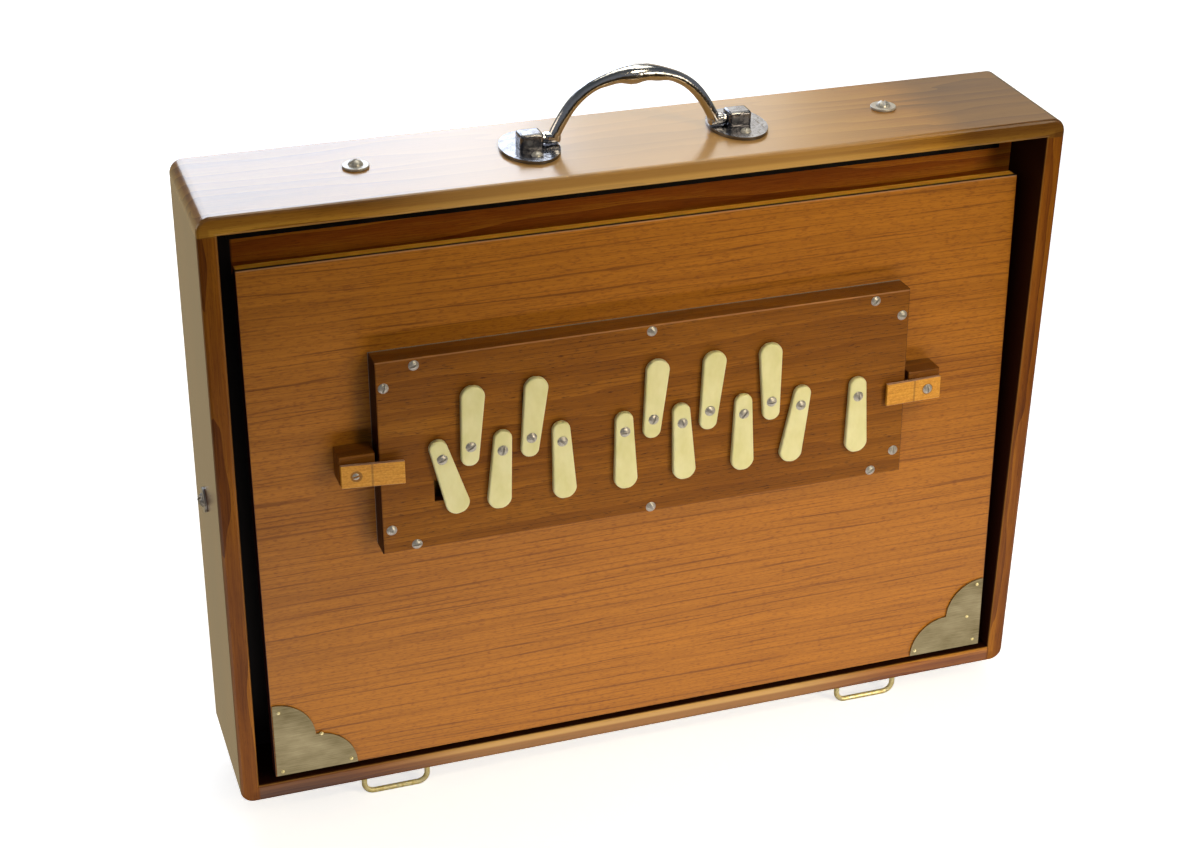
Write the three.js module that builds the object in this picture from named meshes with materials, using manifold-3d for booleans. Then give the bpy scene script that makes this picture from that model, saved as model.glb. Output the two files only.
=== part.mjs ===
// A shruti box: a wooden bellows instrument whose thirteen levers uncover drone reeds.
// Millimetres, +Z up. X runs to the right seen from the front and Y runs to the back.
// The origin is the middle of the box's footprint, on the surface that the feet stand on.

import * as THREE from "three";
import { mergeVertices } from "three/addons/utils/BufferGeometryUtils.js";
import Module from "manifold-3d";

const wasm = await Module();
wasm.setup();

// Case
const case_width = 406.4;
const case_height = 304.8;
const case_depth = 70.1;
const case_wall = 9;
const case_corner_radius = 6.5;
const case_edge_ease = 1.3;
const seat_gap = 0.15;
const cloth_gap = 0.3;
const cut_overrun = 3;

// Centre board and its air holes
const centre_board_thickness = 12;
const air_hole_radius = 14;
const air_hole_spread = 80;
const transfer_hole_height = 70;
const flap_thickness = 2;
const flap_width = 130;
const flap_height = 52;
const flap_above_hole = 24;

// Front board and its facing. It leans out at its foot, as far as the case's depth leaves room for
const board_side_gap = 6.7;
const board_head_gap = 23.4;
const board_foot_gap = 2.4;
const board_off_centre = 1.7;
const board_recess = 1.5;
const front_hinge_gap = 9.9;
const ply_thickness = 6;
const facing_thickness = 1;
const window_width = 36;
const window_height = 36;
const window_pitch = 44;
const window_count = 5;

// Back board, which leans out at its top
const back_board_thickness = 7;
const back_board_foot_gap = 4;
const back_hinge_gap = 3.88;
const intake_hole_from_top = 86;

// Bellows cloth and the springs that pull the front board shut
const bellows_inset = 5;
const bellows_fold = 18;
const spring_radius = 4;
const spring_from_wall = 44.2;
const spring_height = 40;

// Reed box, placed from the top of the front board
const reed_box_width = 260.4;
const reed_box_height = 96.5;
const reed_box_from_top = 45.8;
const reed_box_off_centre = -1.7;
const reed_box_thickness = 12.7;
const reed_board_thickness = 5;
const reed_board_ease = 0.8;
const gasket_thickness = 1;
const rim_end_wall = 9;
const reed_strip_thickness = 1.6;
const reed_plate_width = 9;
const reed_plate_side_gap = 1.5;
const reed_plate_length = 30;
const reed_strip_bar = 6;
const reed_slot_width = 2.4;
const reed_slot_length = 20;
const sound_hole_width = 7;
const sound_hole_height = 10.7;
const sound_hole_from_pivot = 16.9;

// Levers, each on one screw, with the wide end over its sound hole
const lever_length = 39.5;
const lever_thickness = 3;
const lever_narrow_width = 8.2;
const lever_wide_width = 11.8;
const lever_pivot_from_tip = 9.7;
const lever_end_round = 3.6;
const lever_end_power = 2.5;
const lever_ease = 0.7;
const lever_lift = 0.2;
const lower_pivot_above_foot = 45.7;
const upper_pivot_above_foot = 49.9;

// Where each lever's pivot lies, as a share of the reed box's width from its middle, and how it is turned
const lower_levers = [
  { note: "c", across_share: -0.3902, angle: 16.2 },
  { note: "d", across_share: -0.2807, angle: -3.8 },
  { note: "e", across_share: -0.1709, angle: 3.1 },
  { note: "f", across_share: -0.0538, angle: 1.9 },
  { note: "g", across_share: 0.0553, angle: 3.7 },
  { note: "a", across_share: 0.174, angle: 0.5 },
  { note: "b", across_share: 0.2857, angle: -9.3 },
  { note: "c2", across_share: 0.4002, angle: 0.9 },
];
const upper_levers = [
  { note: "cs", across_share: -0.3379, angle: -3.6 },
  { note: "ds", across_share: -0.2273, angle: -6.2 },
  { note: "fs", across_share: 0, angle: -4.9 },
  { note: "gs", across_share: 0.1079, angle: -5.1 },
  { note: "as", across_share: 0.2277, angle: 2.1 },
];

// Round-head screws
const screw_head_radius = 2.6;
const screw_head_height = 1.9;
const screw_shank_radius = 1.4;
const screw_clearance = 0.2;
const screw_bite = 4;
const screw_slot_width = 0.8;
const screw_slot_depth = 0.8;
const slot_step_angle = 37;

// Clips beside the reed box
const clip_block_gap = 1.7;
const clip_block_width = 16.5;
const clip_block_height = 14.2;
const clip_block_above_foot = 38.6;
const clip_block_ease = 0.5;
const clip_length = 28.7;
const clip_width = 11.4;
const clip_thickness = 2;
const clip_corner_radius = 1.2;
const clip_screw_from_end = 7;
const clip_screw_above_foot = 43.7;
const clip_screw_bite = 8;

// Corner plates: two round lobes on a square
const plate_leg = 39.5;
const plate_lobe_radius = 20;
const plate_thickness = 0.8;
const plate_inset = 0.6;

// Handle: two oval bases with sockets and a bail whose grip is thicker
const handle_off_centre = 2;
const handle_base_spread = 99.4;
const handle_base_width = 27;
const handle_base_depth = 38;
const handle_base_thickness = 1.5;
const handle_base_ease = 0.6;
const socket_length = 12;
const socket_wall = 1;
const bail_rod_radius = 2.6;
const bail_running_gap = 0.3;
const bail_socket_depth = 8.3;
const bail_bend_radius = 4;
const bail_bend_angle = 63;
const bail_stub_length = 2.5;
const bail_leg_radius = 2.9;
const bail_grip_radius = 4.7;
const bail_grip_length = 32;
const bail_rise = 26;

// Feet: loops of bent rod let into the case's underside
const foot_rod_radius = 1.4;
const foot_width = 34.5;
const foot_drop = 12;
const foot_corner_radius = 5;
const foot_from_end = 76.9;
const foot_from_face = 5;
const foot_seat_depth = 6;

// Steps of the round stretches
const degree = Math.PI / 180;
const half_turn = Math.PI;
const quarter_turn = Math.PI / 2;
const arc_steps = 8;
const ease_steps = 2;
const screw_sides = 12;
const hole_sides = 12;
const rod_sides = 10;
const bail_sides = 12;
const bail_arch_steps = 15;
const bend_steps = 4;

// Materials
const case_wood = new THREE.MeshStandardMaterial({ color: "#8a5a22", roughness: 0.3, metalness: 0 });
const inner_wood = new THREE.MeshStandardMaterial({ color: "#6a2c10", roughness: 0.6, metalness: 0 });
const ply_wood = new THREE.MeshStandardMaterial({ color: "#b87420", roughness: 0.6, metalness: 0 });
const facing_wood = new THREE.MeshStandardMaterial({ color: "#ac6c28", roughness: 0.4, metalness: 0 });
const reed_wood = new THREE.MeshStandardMaterial({ color: "#744218", roughness: 0.5, metalness: 0 });
const lever_ivory = new THREE.MeshStandardMaterial({ color: "#e2dc98", roughness: 0.4, metalness: 0 });
const clip_leather = new THREE.MeshStandardMaterial({ color: "#d4903a", roughness: 0.7, metalness: 0 });
const flap_leather = new THREE.MeshStandardMaterial({ color: "#b8a07a", roughness: 0.8, metalness: 0 });
const black_cloth = new THREE.MeshStandardMaterial({ color: "#141014", roughness: 0.7, metalness: 0 });
const grey_felt = new THREE.MeshStandardMaterial({ color: "#b4aca0", roughness: 0.9, metalness: 0 });
const reed_brass = new THREE.MeshStandardMaterial({ color: "#c8a04c", roughness: 0.35, metalness: 1 });
const foot_brass = new THREE.MeshStandardMaterial({ color: "#d8c478", roughness: 0.2, metalness: 1 });
const plate_metal = new THREE.MeshStandardMaterial({ color: "#a09068", roughness: 0.4, metalness: 1 });
const screw_steel = new THREE.MeshStandardMaterial({ color: "#a8a8a8", roughness: 0.3, metalness: 1 });
const handle_chrome = new THREE.MeshStandardMaterial({ color: "#d4d6d8", roughness: 0.1, metalness: 1 });

// Solids: a closed geometry as something that can be joined and cut, and back again
function solid_of(geometry) {
  const plain = geometry.clone();
  plain.deleteAttribute("normal");
  plain.deleteAttribute("uv");
  const merged = mergeVertices(plain);
  return new wasm.Manifold(
    new wasm.Mesh({
      numProp: 3,
      vertProperties: new Float32Array(merged.attributes.position.array),
      triVerts: new Uint32Array(merged.index.array),
    }),
  );
}

function geometry_of(solid) {
  const mesh = solid.getMesh();
  const geometry = new THREE.BufferGeometry();
  geometry.setAttribute("position", new THREE.BufferAttribute(mesh.vertProperties, mesh.numProp));
  geometry.setIndex(new THREE.BufferAttribute(mesh.triVerts, 1));
  const faceted = geometry.toNonIndexed();
  faceted.computeVertexNormals();
  return faceted;
}

function cut(body, ...tools) {
  return geometry_of(tools.reduce((left, tool) => left.subtract(solid_of(tool)), solid_of(body)));
}

function join(body, ...others) {
  return geometry_of(others.reduce((whole, other) => whole.add(solid_of(other)), solid_of(body)));
}

function shared(body, other) {
  return geometry_of(solid_of(body).intersect(solid_of(other)));
}

// Plain shapes
function box(left, right, front, back, low, high) {
  const geometry = new THREE.BoxGeometry(right - left, back - front, high - low);
  return geometry.translate((left + right) / 2, (front + back) / 2, (low + high) / 2);
}

function trace(outline, left, right, low, high) {
  outline.moveTo(left, low);
  outline.lineTo(right, low);
  outline.lineTo(right, high);
  outline.lineTo(left, high);
  outline.closePath();
  return outline;
}

function rectangle(left, right, low, high) {
  return trace(new THREE.Shape(), left, right, low, high);
}

function rectangle_hole(left, right, low, high) {
  return trace(new THREE.Path(), left, right, low, high);
}

function round_hole(x, y, radius) {
  const hole = new THREE.Path();
  const corners = [];
  for (let i = 0; i < hole_sides; i += 1) {
    const angle = (i / hole_sides) * 2 * half_turn;
    corners.push(new THREE.Vector2(x + radius * Math.cos(angle), y + radius * Math.sin(angle)));
  }
  hole.setFromPoints(corners);
  return hole;
}

function rounded_rectangle(left, right, low, high, radius) {
  const shape = new THREE.Shape();
  shape.absarc(right - radius, high - radius, radius, 0, quarter_turn);
  shape.absarc(left + radius, high - radius, radius, quarter_turn, half_turn);
  shape.absarc(left + radius, low + radius, radius, half_turn, half_turn + quarter_turn);
  shape.absarc(right - radius, low + radius, radius, half_turn + quarter_turn, 2 * half_turn);
  return shape;
}

// A slab of an outline from z = 0 up, with its edges eased at both faces
function slab(shape, thickness, ease = 0) {
  const geometry = new THREE.ExtrudeGeometry(shape, {
    depth: thickness - 2 * ease,
    curveSegments: arc_steps,
    bevelEnabled: ease > 0,
    bevelThickness: ease,
    bevelSize: ease,
    bevelOffset: -ease,
    bevelSegments: ease_steps,
  });
  return geometry.translate(0, 0, ease);
}

// A round rod along points that lie in one plane, square to across
function rod(points, radii, across, sides) {
  const positions = [];
  const faces = [];
  const last = points.length - 1;
  points.forEach((point, i) => {
    const before = points[Math.max(i - 1, 0)];
    const after = points[Math.min(i + 1, last)];
    const along = after.clone().sub(before).normalize();
    const side = across.clone().cross(along);
    for (let j = 0; j < sides; j += 1) {
      const angle = ((2 * j + 1) / sides) * half_turn;
      const corner = point.clone();
      corner.addScaledVector(side, radii[i] * Math.cos(angle));
      corner.addScaledVector(across, radii[i] * Math.sin(angle));
      positions.push(...corner.toArray());
    }
  });
  for (let i = 0; i < last; i += 1) {
    for (let j = 0; j < sides; j += 1) {
      const a = i * sides + j;
      const b = i * sides + ((j + 1) % sides);
      faces.push(a, b, b + sides, a, b + sides, a + sides);
    }
  }
  for (let j = 1; j < sides - 1; j += 1) {
    faces.push(0, j + 1, j);
    faces.push(last * sides, last * sides + j, last * sides + j + 1);
  }
  const geometry = new THREE.BufferGeometry();
  geometry.setAttribute("position", new THREE.Float32BufferAttribute(positions, 3));
  geometry.setIndex(faces);
  const faceted = geometry.toNonIndexed();
  faceted.computeVertexNormals();
  return faceted;
}

// Points of an arc in the XZ plane, whose angles start at +X and turn towards +Z
function arc_points(x, z, radius, from, to) {
  const points = [];
  for (let i = 0; i <= bend_steps; i += 1) {
    const angle = from + ((to - from) * i) / bend_steps;
    points.push(new THREE.Vector3(x + radius * Math.cos(angle), 0, z + radius * Math.sin(angle)));
  }
  return points;
}

// A round-head screw along Z: the head stands on z = 0 and the shank hangs below it
function screw(shank_length, slot_angle) {
  const dome = (screw_head_radius ** 2 + screw_head_height ** 2) / (2 * screw_head_height);
  const dome_half_angle = Math.asin(Math.min(screw_head_radius / dome, 1));
  const profile = [
    new THREE.Vector2(0, -shank_length),
    new THREE.Vector2(screw_shank_radius, -shank_length),
    new THREE.Vector2(screw_shank_radius, 0),
  ];
  for (let i = 0; i < bend_steps; i += 1) {
    const angle = dome_half_angle * (1 - i / bend_steps);
    const up = screw_head_height - dome * (1 - Math.cos(angle));
    profile.push(new THREE.Vector2(dome * Math.sin(angle), up));
  }
  profile.push(new THREE.Vector2(0, screw_head_height));
  const turned = new THREE.LatheGeometry(profile, screw_sides).rotateX(quarter_turn);
  const reach = screw_head_radius + cut_overrun;
  const slot_floor = screw_head_height - screw_slot_depth;
  const half_slot = screw_slot_width / 2;
  const slot = box(-reach, reach, -half_slot, half_slot, slot_floor, screw_head_height + cut_overrun);
  return cut(turned, slot.rotateZ(slot_angle * degree));
}

// The scene: the case stands on its feet, and the two boards lean inside it
const shruti_box = new THREE.Group();
const case_group = new THREE.Group();
const front_group = new THREE.Group();
const back_group = new THREE.Group();
shruti_box.add(case_group);
case_group.add(front_group, back_group);

function add(group, name, geometry, material) {
  const mesh = new THREE.Mesh(geometry, material);
  mesh.name = name;
  group.add(mesh);
  return mesh;
}

const half_width = case_width / 2;
const half_depth = case_depth / 2;
const inner_half_width = half_width - case_wall;
const ceiling = case_height - case_wall;
const board_thickness = ply_thickness + facing_thickness;
const half_board = inner_half_width - board_side_gap;
const board_height = ceiling - case_wall - board_foot_gap - board_head_gap;
const screw_hole_radius = screw_shank_radius + screw_clearance;
const board_face_foot = board_recess - half_depth;

// What the boards and the hinge gaps leave of the case's depth is shared by the two boards as their lean
const boards_depth = board_thickness + centre_board_thickness + back_board_thickness;
const lean_room = case_depth - 2 * board_recess - boards_depth - front_hinge_gap - back_hinge_gap;
const lean_depth = lean_room / 2;
const lean = Math.asin(lean_depth / board_height);
const centre_board_front = board_face_foot + lean_depth + board_thickness + front_hinge_gap;
const centre_board_back = centre_board_front + centre_board_thickness;

// Heights on the front board, from its foot
const reed_low = board_height - reed_box_from_top - reed_box_height;
const reed_high = reed_low + reed_box_height;
const lower_pivot_height = reed_low + lower_pivot_above_foot;
const upper_pivot_height = reed_low + upper_pivot_above_foot;
const lever_top = reed_box_thickness + lever_lift + lever_thickness;
const screw_top = lever_top + seat_gap + screw_head_height;

// The foremost point is the head of a lower lever's screw, and the case's back is the rearmost
const screw_head_y = board_face_foot + lower_pivot_height * Math.sin(lean) - screw_top * Math.cos(lean);
const foremost = Math.min(screw_head_y, -half_depth);
case_group.position.set(0, -(foremost + half_depth) / 2, foot_drop);

// In the front group X runs across, Y runs up the leaning board and Z points out to the player
front_group.position.set(board_off_centre, board_face_foot, case_wall + board_foot_gap);
front_group.rotation.set(quarter_turn - lean, 0, 0);
front_group.updateMatrix();

// In the back group Y runs up the back board and Z points out behind
const back_board_face_foot = half_depth - board_recess - lean_depth;
back_group.position.set(0, back_board_face_foot, case_wall + back_board_foot_gap);
back_group.rotation.set(-(quarter_turn + lean), 0, half_turn);
back_group.updateMatrix();

// Case boards: one eased ring, parted so that the upright boards hold the bottom one between them
function make_case_boards() {
  const outline = rounded_rectangle(-half_width, half_width, 0, case_height, case_corner_radius);
  outline.holes.push(rectangle_hole(-inner_half_width, inner_half_width, case_wall, ceiling));
  const ring = slab(outline, case_depth, case_edge_ease).rotateX(quarter_turn);
  ring.translate(0, half_depth, 0);
  const out = half_width + cut_overrun;
  const deep = half_depth + cut_overrun;
  const foot_holes = foot_places().flatMap((place) => foot_hole_tools(place));
  const side = inner_half_width;
  const bottom = shared(ring, box(-side, side, -deep, deep, -cut_overrun, case_wall));
  const top = shared(ring, box(-out, out, -deep, deep, ceiling, case_height + cut_overrun));
  const left = shared(ring, box(-out, -side, -deep, deep, -cut_overrun, ceiling));
  const right = shared(ring, box(side, out, -deep, deep, -cut_overrun, ceiling));
  add(case_group, "frame_top", top, case_wood);
  add(case_group, "frame_bottom", cut(bottom, ...foot_holes), case_wood);
  add(case_group, "frame_left", left, case_wood);
  add(case_group, "frame_right", right, case_wood);
}

// Feet, where each loop's rod goes up into the underside at both ends
function foot_places() {
  const across = half_width - foot_from_end;
  const deep = half_depth - foot_from_face;
  return [
    { name: "foot_front_left", x: -across, y: -deep },
    { name: "foot_front_right", x: across, y: -deep },
    { name: "foot_back_left", x: -across, y: deep },
    { name: "foot_back_right", x: across, y: deep },
  ];
}

function foot_hole_tools(place) {
  const leg = foot_width / 2 - foot_rod_radius;
  const radius = foot_rod_radius + screw_clearance;
  return [-leg, leg].map((side) => {
    const tool = new THREE.CylinderGeometry(radius, radius, 2 * foot_seat_depth, hole_sides);
    return tool.rotateX(quarter_turn).translate(place.x + side, place.y, 0);
  });
}

function make_feet() {
  const leg = foot_width / 2 - foot_rod_radius;
  const flat = foot_rod_radius * Math.cos(half_turn / rod_sides);
  const run = -foot_drop + flat;
  const turn_x = leg - foot_corner_radius;
  const turn_z = run + foot_corner_radius;
  const seat = foot_seat_depth - screw_clearance;
  const points = [new THREE.Vector3(-leg, 0, seat)];
  points.push(...arc_points(-turn_x, turn_z, foot_corner_radius, half_turn, half_turn + quarter_turn));
  points.push(...arc_points(turn_x, turn_z, foot_corner_radius, -quarter_turn, 0));
  points.push(new THREE.Vector3(leg, 0, seat));
  const radii = points.map(() => foot_rod_radius);
  for (const place of foot_places()) {
    const loop = rod(points, radii, new THREE.Vector3(0, 1, 0), rod_sides);
    add(case_group, place.name, loop, foot_brass).position.set(place.x, place.y, 0);
  }
}

// Centre board with two air holes, and the leather flap that hangs over them on the front
function make_centre_board() {
  const side = inner_half_width - seat_gap;
  const outline = rectangle(-side, side, case_wall + seat_gap, ceiling - seat_gap);
  for (const across of [-air_hole_spread / 2, air_hole_spread / 2]) {
    outline.holes.push(round_hole(across, transfer_hole_height, air_hole_radius));
  }
  const board = slab(outline, centre_board_back - centre_board_front).rotateX(quarter_turn);
  add(case_group, "centre_board", board.translate(0, centre_board_back, 0), inner_wood);
  const flap_top = transfer_hole_height + flap_above_hole;
  const flap_back = centre_board_front - seat_gap;
  const half_flap = flap_width / 2;
  const flap_front = flap_back - flap_thickness;
  const flap = box(-half_flap, half_flap, flap_front, flap_back, flap_top - flap_height, flap_top);
  add(case_group, "transfer_flap", flap, flap_leather);
}

// Handle bases: an oval plate that carries a socket open towards the middle
const bail_axis_height = handle_base_thickness + bail_rod_radius + bail_running_gap;
const socket_radius = bail_rod_radius + bail_running_gap + socket_wall;
const socket_bore_radius = bail_rod_radius + bail_running_gap;

function make_handle_base() {
  const oval = new THREE.Shape();
  oval.absellipse(0, 0, handle_base_width / 2, handle_base_depth / 2, 0, 2 * half_turn);
  const plate = slab(oval, handle_base_thickness, handle_base_ease);
  const half_socket = socket_length / 2;
  const barrel = new THREE.CylinderGeometry(socket_radius, socket_radius, socket_length, 2 * arc_steps);
  barrel.rotateZ(quarter_turn).translate(0, 0, bail_axis_height);
  const root_low = handle_base_thickness / 2;
  const root = box(-half_socket, half_socket, -socket_radius, socket_radius, root_low, bail_axis_height);
  const end = new THREE.SphereGeometry(socket_radius, 2 * arc_steps, arc_steps);
  end.translate(half_socket, 0, bail_axis_height);
  const bore_length = bail_socket_depth + bail_running_gap + cut_overrun;
  const bore = new THREE.CylinderGeometry(socket_bore_radius, socket_bore_radius, bore_length, bail_sides);
  bore.rotateZ(quarter_turn).translate(bore_length / 2 - half_socket - cut_overrun, 0, bail_axis_height);
  return cut(join(plate, root, barrel, end), bore);
}

function make_handle_bases() {
  const height = case_height + seat_gap;
  const spread = handle_base_spread / 2;
  const right = add(case_group, "handle_base_right", make_handle_base(), handle_chrome);
  right.position.set(handle_off_centre + spread, 0, height);
  const left = add(case_group, "handle_base_left", make_handle_base(), handle_chrome);
  left.position.set(handle_off_centre - spread, 0, height);
  left.rotation.z = half_turn;
}

// Bail: stubs in both sockets, a bend, a leaning leg and an arch that thickens at the grip
function make_bail() {
  const mouth = handle_base_spread / 2 - socket_length / 2;
  const bend_x = mouth - bail_stub_length;
  const turn = bail_bend_angle * degree;
  const bend = arc_points(bend_x, bail_bend_radius, bail_bend_radius, -quarter_turn, -quarter_turn - turn);
  const foot = bend[bend.length - 1];
  const arch_height = bail_rise - foot.z;
  const leg_pull_share = 0.68;
  const crown_pull_share = 0.6;
  const pull = leg_pull_share * arch_height;
  const arch = new THREE.CubicBezierCurve3(
    foot,
    new THREE.Vector3(foot.x - pull * Math.cos(turn), 0, foot.z + pull * Math.sin(turn)),
    new THREE.Vector3(crown_pull_share * foot.x, 0, bail_rise),
    new THREE.Vector3(0, 0, bail_rise),
  );
  const half = [new THREE.Vector3(mouth + bail_socket_depth, 0, 0), ...bend];
  half.push(...arch.getPoints(bail_arch_steps).slice(1));
  const mirrored = half.slice(0, -1).map((point) => new THREE.Vector3(-point.x, 0, point.z));
  const points = [...half, ...mirrored.reverse()];
  const radii = points.map((point) => {
    const from_grip = Math.min((2 * Math.abs(point.x)) / bail_grip_length, 1);
    const swell = (1 + Math.cos(from_grip * half_turn)) / 2;
    const up = Math.min(Math.max(point.z / foot.z, 0), 1);
    const leg = bail_rod_radius + (bail_leg_radius - bail_rod_radius) * up;
    return leg + (bail_grip_radius - leg) * swell;
  });
  const bail = rod(points, radii, new THREE.Vector3(0, -1, 0), bail_sides);
  const mesh = add(case_group, "handle_bail", bail, handle_chrome);
  mesh.position.set(handle_off_centre, 0, case_height + seat_gap + bail_axis_height);
}

// Front board: plywood and its facing, with windows that let air into the reed box
function board_slab(back, front) {
  const whole = box(-half_board, half_board, 0, board_height, back, front);
  const low = reed_low + (reed_box_height - window_height) / 2;
  const first = (-(window_count - 1) * window_pitch) / 2 + reed_box_off_centre;
  const windows = [];
  for (let i = 0; i < window_count; i += 1) {
    const left = first + i * window_pitch - window_width / 2;
    const right = left + window_width;
    windows.push(box(left, right, low, low + window_height, back - cut_overrun, front + cut_overrun));
  }
  return cut(whole, ...windows);
}

function make_front_board() {
  const facing_back = seat_gap - facing_thickness;
  add(front_group, "front_board", board_slab(-board_thickness, -facing_thickness), ply_wood);
  add(front_group, "front_laminate", board_slab(facing_back, 0), facing_wood);
}

// Corner plates on the board's two lower corners
function make_corner_plates() {
  const lobe_foot = plate_leg - plate_lobe_radius;
  const meet = (lobe_foot + Math.sqrt(2 * plate_lobe_radius ** 2 - lobe_foot ** 2)) / 2;
  const meet_angle = Math.asin((meet - lobe_foot) / plate_lobe_radius);
  const outline = new THREE.Shape();
  outline.moveTo(0, 0);
  outline.lineTo(plate_leg, 0);
  outline.absarc(lobe_foot, 0, plate_lobe_radius, 0, quarter_turn - meet_angle);
  outline.absarc(0, lobe_foot, plate_lobe_radius, meet_angle, quarter_turn);
  outline.closePath();
  const corner = half_board - plate_inset;
  const left = add(front_group, "corner_plate_left", slab(outline, plate_thickness), plate_metal);
  left.position.set(-corner, plate_inset, seat_gap);
  const right = add(front_group, "corner_plate_right", slab(outline, plate_thickness), plate_metal);
  right.position.set(corner, plate_inset, seat_gap);
  right.rotation.z = quarter_turn;
}

// Reed box: gasket, hollow rim, reed board and the two brass reed strips behind it
const half_reed_box = reed_box_width / 2;
const reed_board_foot = reed_box_thickness - reed_board_thickness;

function reed_box_ring() {
  const ring = rectangle(-half_reed_box, half_reed_box, reed_low, reed_high);
  const outermost = Math.max(...lever_places().map((lever) => Math.abs(lever.across)));
  const inside = outermost + reed_plate_width / 2 + reed_plate_side_gap;
  ring.holes.push(rectangle_hole(-inside, inside, reed_low + rim_end_wall, reed_high - rim_end_wall));
  return ring;
}

function lever_places() {
  const row = (levers, height, way) => {
    return levers.map((lever) => ({ ...lever, across: lever.across_share * reed_box_width, height, way }));
  };
  return [...row(lower_levers, lower_pivot_height, -1), ...row(upper_levers, upper_pivot_height, 1)];
}

// The lower row's holes lie under its pivots and the upper row's over them
function sound_hole_height_of(lever) {
  return lever.height + lever.way * sound_hole_from_pivot;
}

function make_reed_board() {
  const outline = rectangle(-half_reed_box, half_reed_box, reed_low, reed_high);
  const thick = reed_board_thickness - seat_gap;
  const eased = slab(outline, thick + reed_board_ease, reed_board_ease).translate(0, 0, -reed_board_ease);
  const wide = half_reed_box + cut_overrun;
  const back = -cut_overrun;
  const front = thick + cut_overrun;
  const front_part = box(-wide, wide, reed_low - cut_overrun, reed_high + cut_overrun, 0, front);
  const holes = lever_places().flatMap((lever) => {
    const low = sound_hole_height_of(lever) - sound_hole_height / 2;
    const left = lever.across - sound_hole_width / 2;
    const sound = box(left, left + sound_hole_width, low, low + sound_hole_height, back, front);
    const pivot = new THREE.CylinderGeometry(screw_hole_radius, screw_hole_radius, 2 * front, hole_sides);
    return [pivot.rotateX(quarter_turn).translate(lever.across, lever.height, 0), sound];
  });
  return cut(shared(eased, front_part), ...holes);
}

// A strip of reed plates joined by a bar, each plate slotted for its tongue
function reed_strip(levers) {
  const { way } = levers[0];
  const middle = sound_hole_height_of(levers[0]);
  const low = middle - reed_plate_length / 2;
  const high = middle + reed_plate_length / 2;
  const half_plate = reed_plate_width / 2;
  const half_slot = reed_slot_width / 2;
  const slot_low = middle - (reed_slot_length + way * reed_strip_bar) / 2;
  const slot_high = slot_low + reed_slot_length;
  const xs = levers.map((lever) => lever.across);
  const front = reed_board_foot - seat_gap;
  const back = front - reed_strip_thickness;
  const bar_low = way > 0 ? high - reed_strip_bar : low;
  const bar = box(Math.min(...xs), Math.max(...xs), bar_low, bar_low + reed_strip_bar, back, front);
  const plates = xs.map((x) => box(x - half_plate, x + half_plate, low, high, back, front));
  const slots = xs.map((x) => {
    return box(x - half_slot, x + half_slot, slot_low, slot_high, back - cut_overrun, front + cut_overrun);
  });
  return cut(join(bar, ...plates), ...slots);
}

function make_reed_box() {
  const gasket = slab(reed_box_ring(), gasket_thickness - seat_gap).translate(0, 0, seat_gap);
  const rim_foot = gasket_thickness + seat_gap;
  const rim = slab(reed_box_ring(), reed_board_foot - rim_foot).translate(0, 0, rim_foot);
  const reed_group = new THREE.Group();
  reed_group.position.x = reed_box_off_centre;
  front_group.add(reed_group);
  add(reed_group, "reed_gasket", gasket, grey_felt);
  add(reed_group, "reed_box_rim", rim, reed_wood);
  add(reed_group, "reed_board", make_reed_board().translate(0, 0, reed_board_foot + seat_gap), reed_wood);
  const lower_row = lever_places().filter((lever) => lever.way < 0);
  const upper_row = lever_places().filter((lever) => lever.way > 0);
  add(reed_group, "reed_row_lower", reed_strip(lower_row), reed_brass);
  add(reed_group, "reed_row_upper", reed_strip(upper_row), reed_brass);
}

// Levers: tapered, round-ended and eased, with the pivot at the origin and the wide end at -Y
function lever_outline() {
  const outline = new THREE.Shape();
  const corners = [];
  const tip = lever_pivot_from_tip;
  const tail = lever_pivot_from_tip - lever_length;
  const narrow = lever_narrow_width / 2;
  const wide = lever_wide_width / 2;
  const soften = (value) => Math.sign(value) * Math.abs(value) ** (2 / lever_end_power);
  const add_end = (half, end, from) => {
    const inner = end - Math.sign(end) * lever_end_round;
    for (let i = 0; i <= 2 * bend_steps; i += 1) {
      const angle = from + (i * quarter_turn) / bend_steps;
      const x = half * soften(Math.cos(angle));
      corners.push(new THREE.Vector2(x, inner + lever_end_round * soften(Math.sin(angle))));
    }
  };
  add_end(narrow, tip, 0);
  add_end(wide, tail, half_turn);
  outline.setFromPoints(corners);
  outline.holes.push(round_hole(0, 0, screw_hole_radius));
  return outline;
}

function make_levers() {
  const shank = seat_gap + lever_thickness + lever_lift + screw_bite;
  lever_places().forEach((lever, i) => {
    const x = lever.across + reed_box_off_centre;
    const geometry = slab(lever_outline(), lever_thickness, lever_ease);
    const mesh = add(front_group, "lever_" + lever.note, geometry, lever_ivory);
    mesh.position.set(x, lever.height, reed_box_thickness + lever_lift);
    mesh.rotation.z = lever.angle * degree + (lever.way > 0 ? half_turn : 0);
    const pivot_screw = screw(shank, i * slot_step_angle);
    const pivot = add(front_group, "lever_screw_" + lever.note, pivot_screw, screw_steel);
    pivot.position.set(x, lever.height, lever_top + seat_gap);
  });
}

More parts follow.
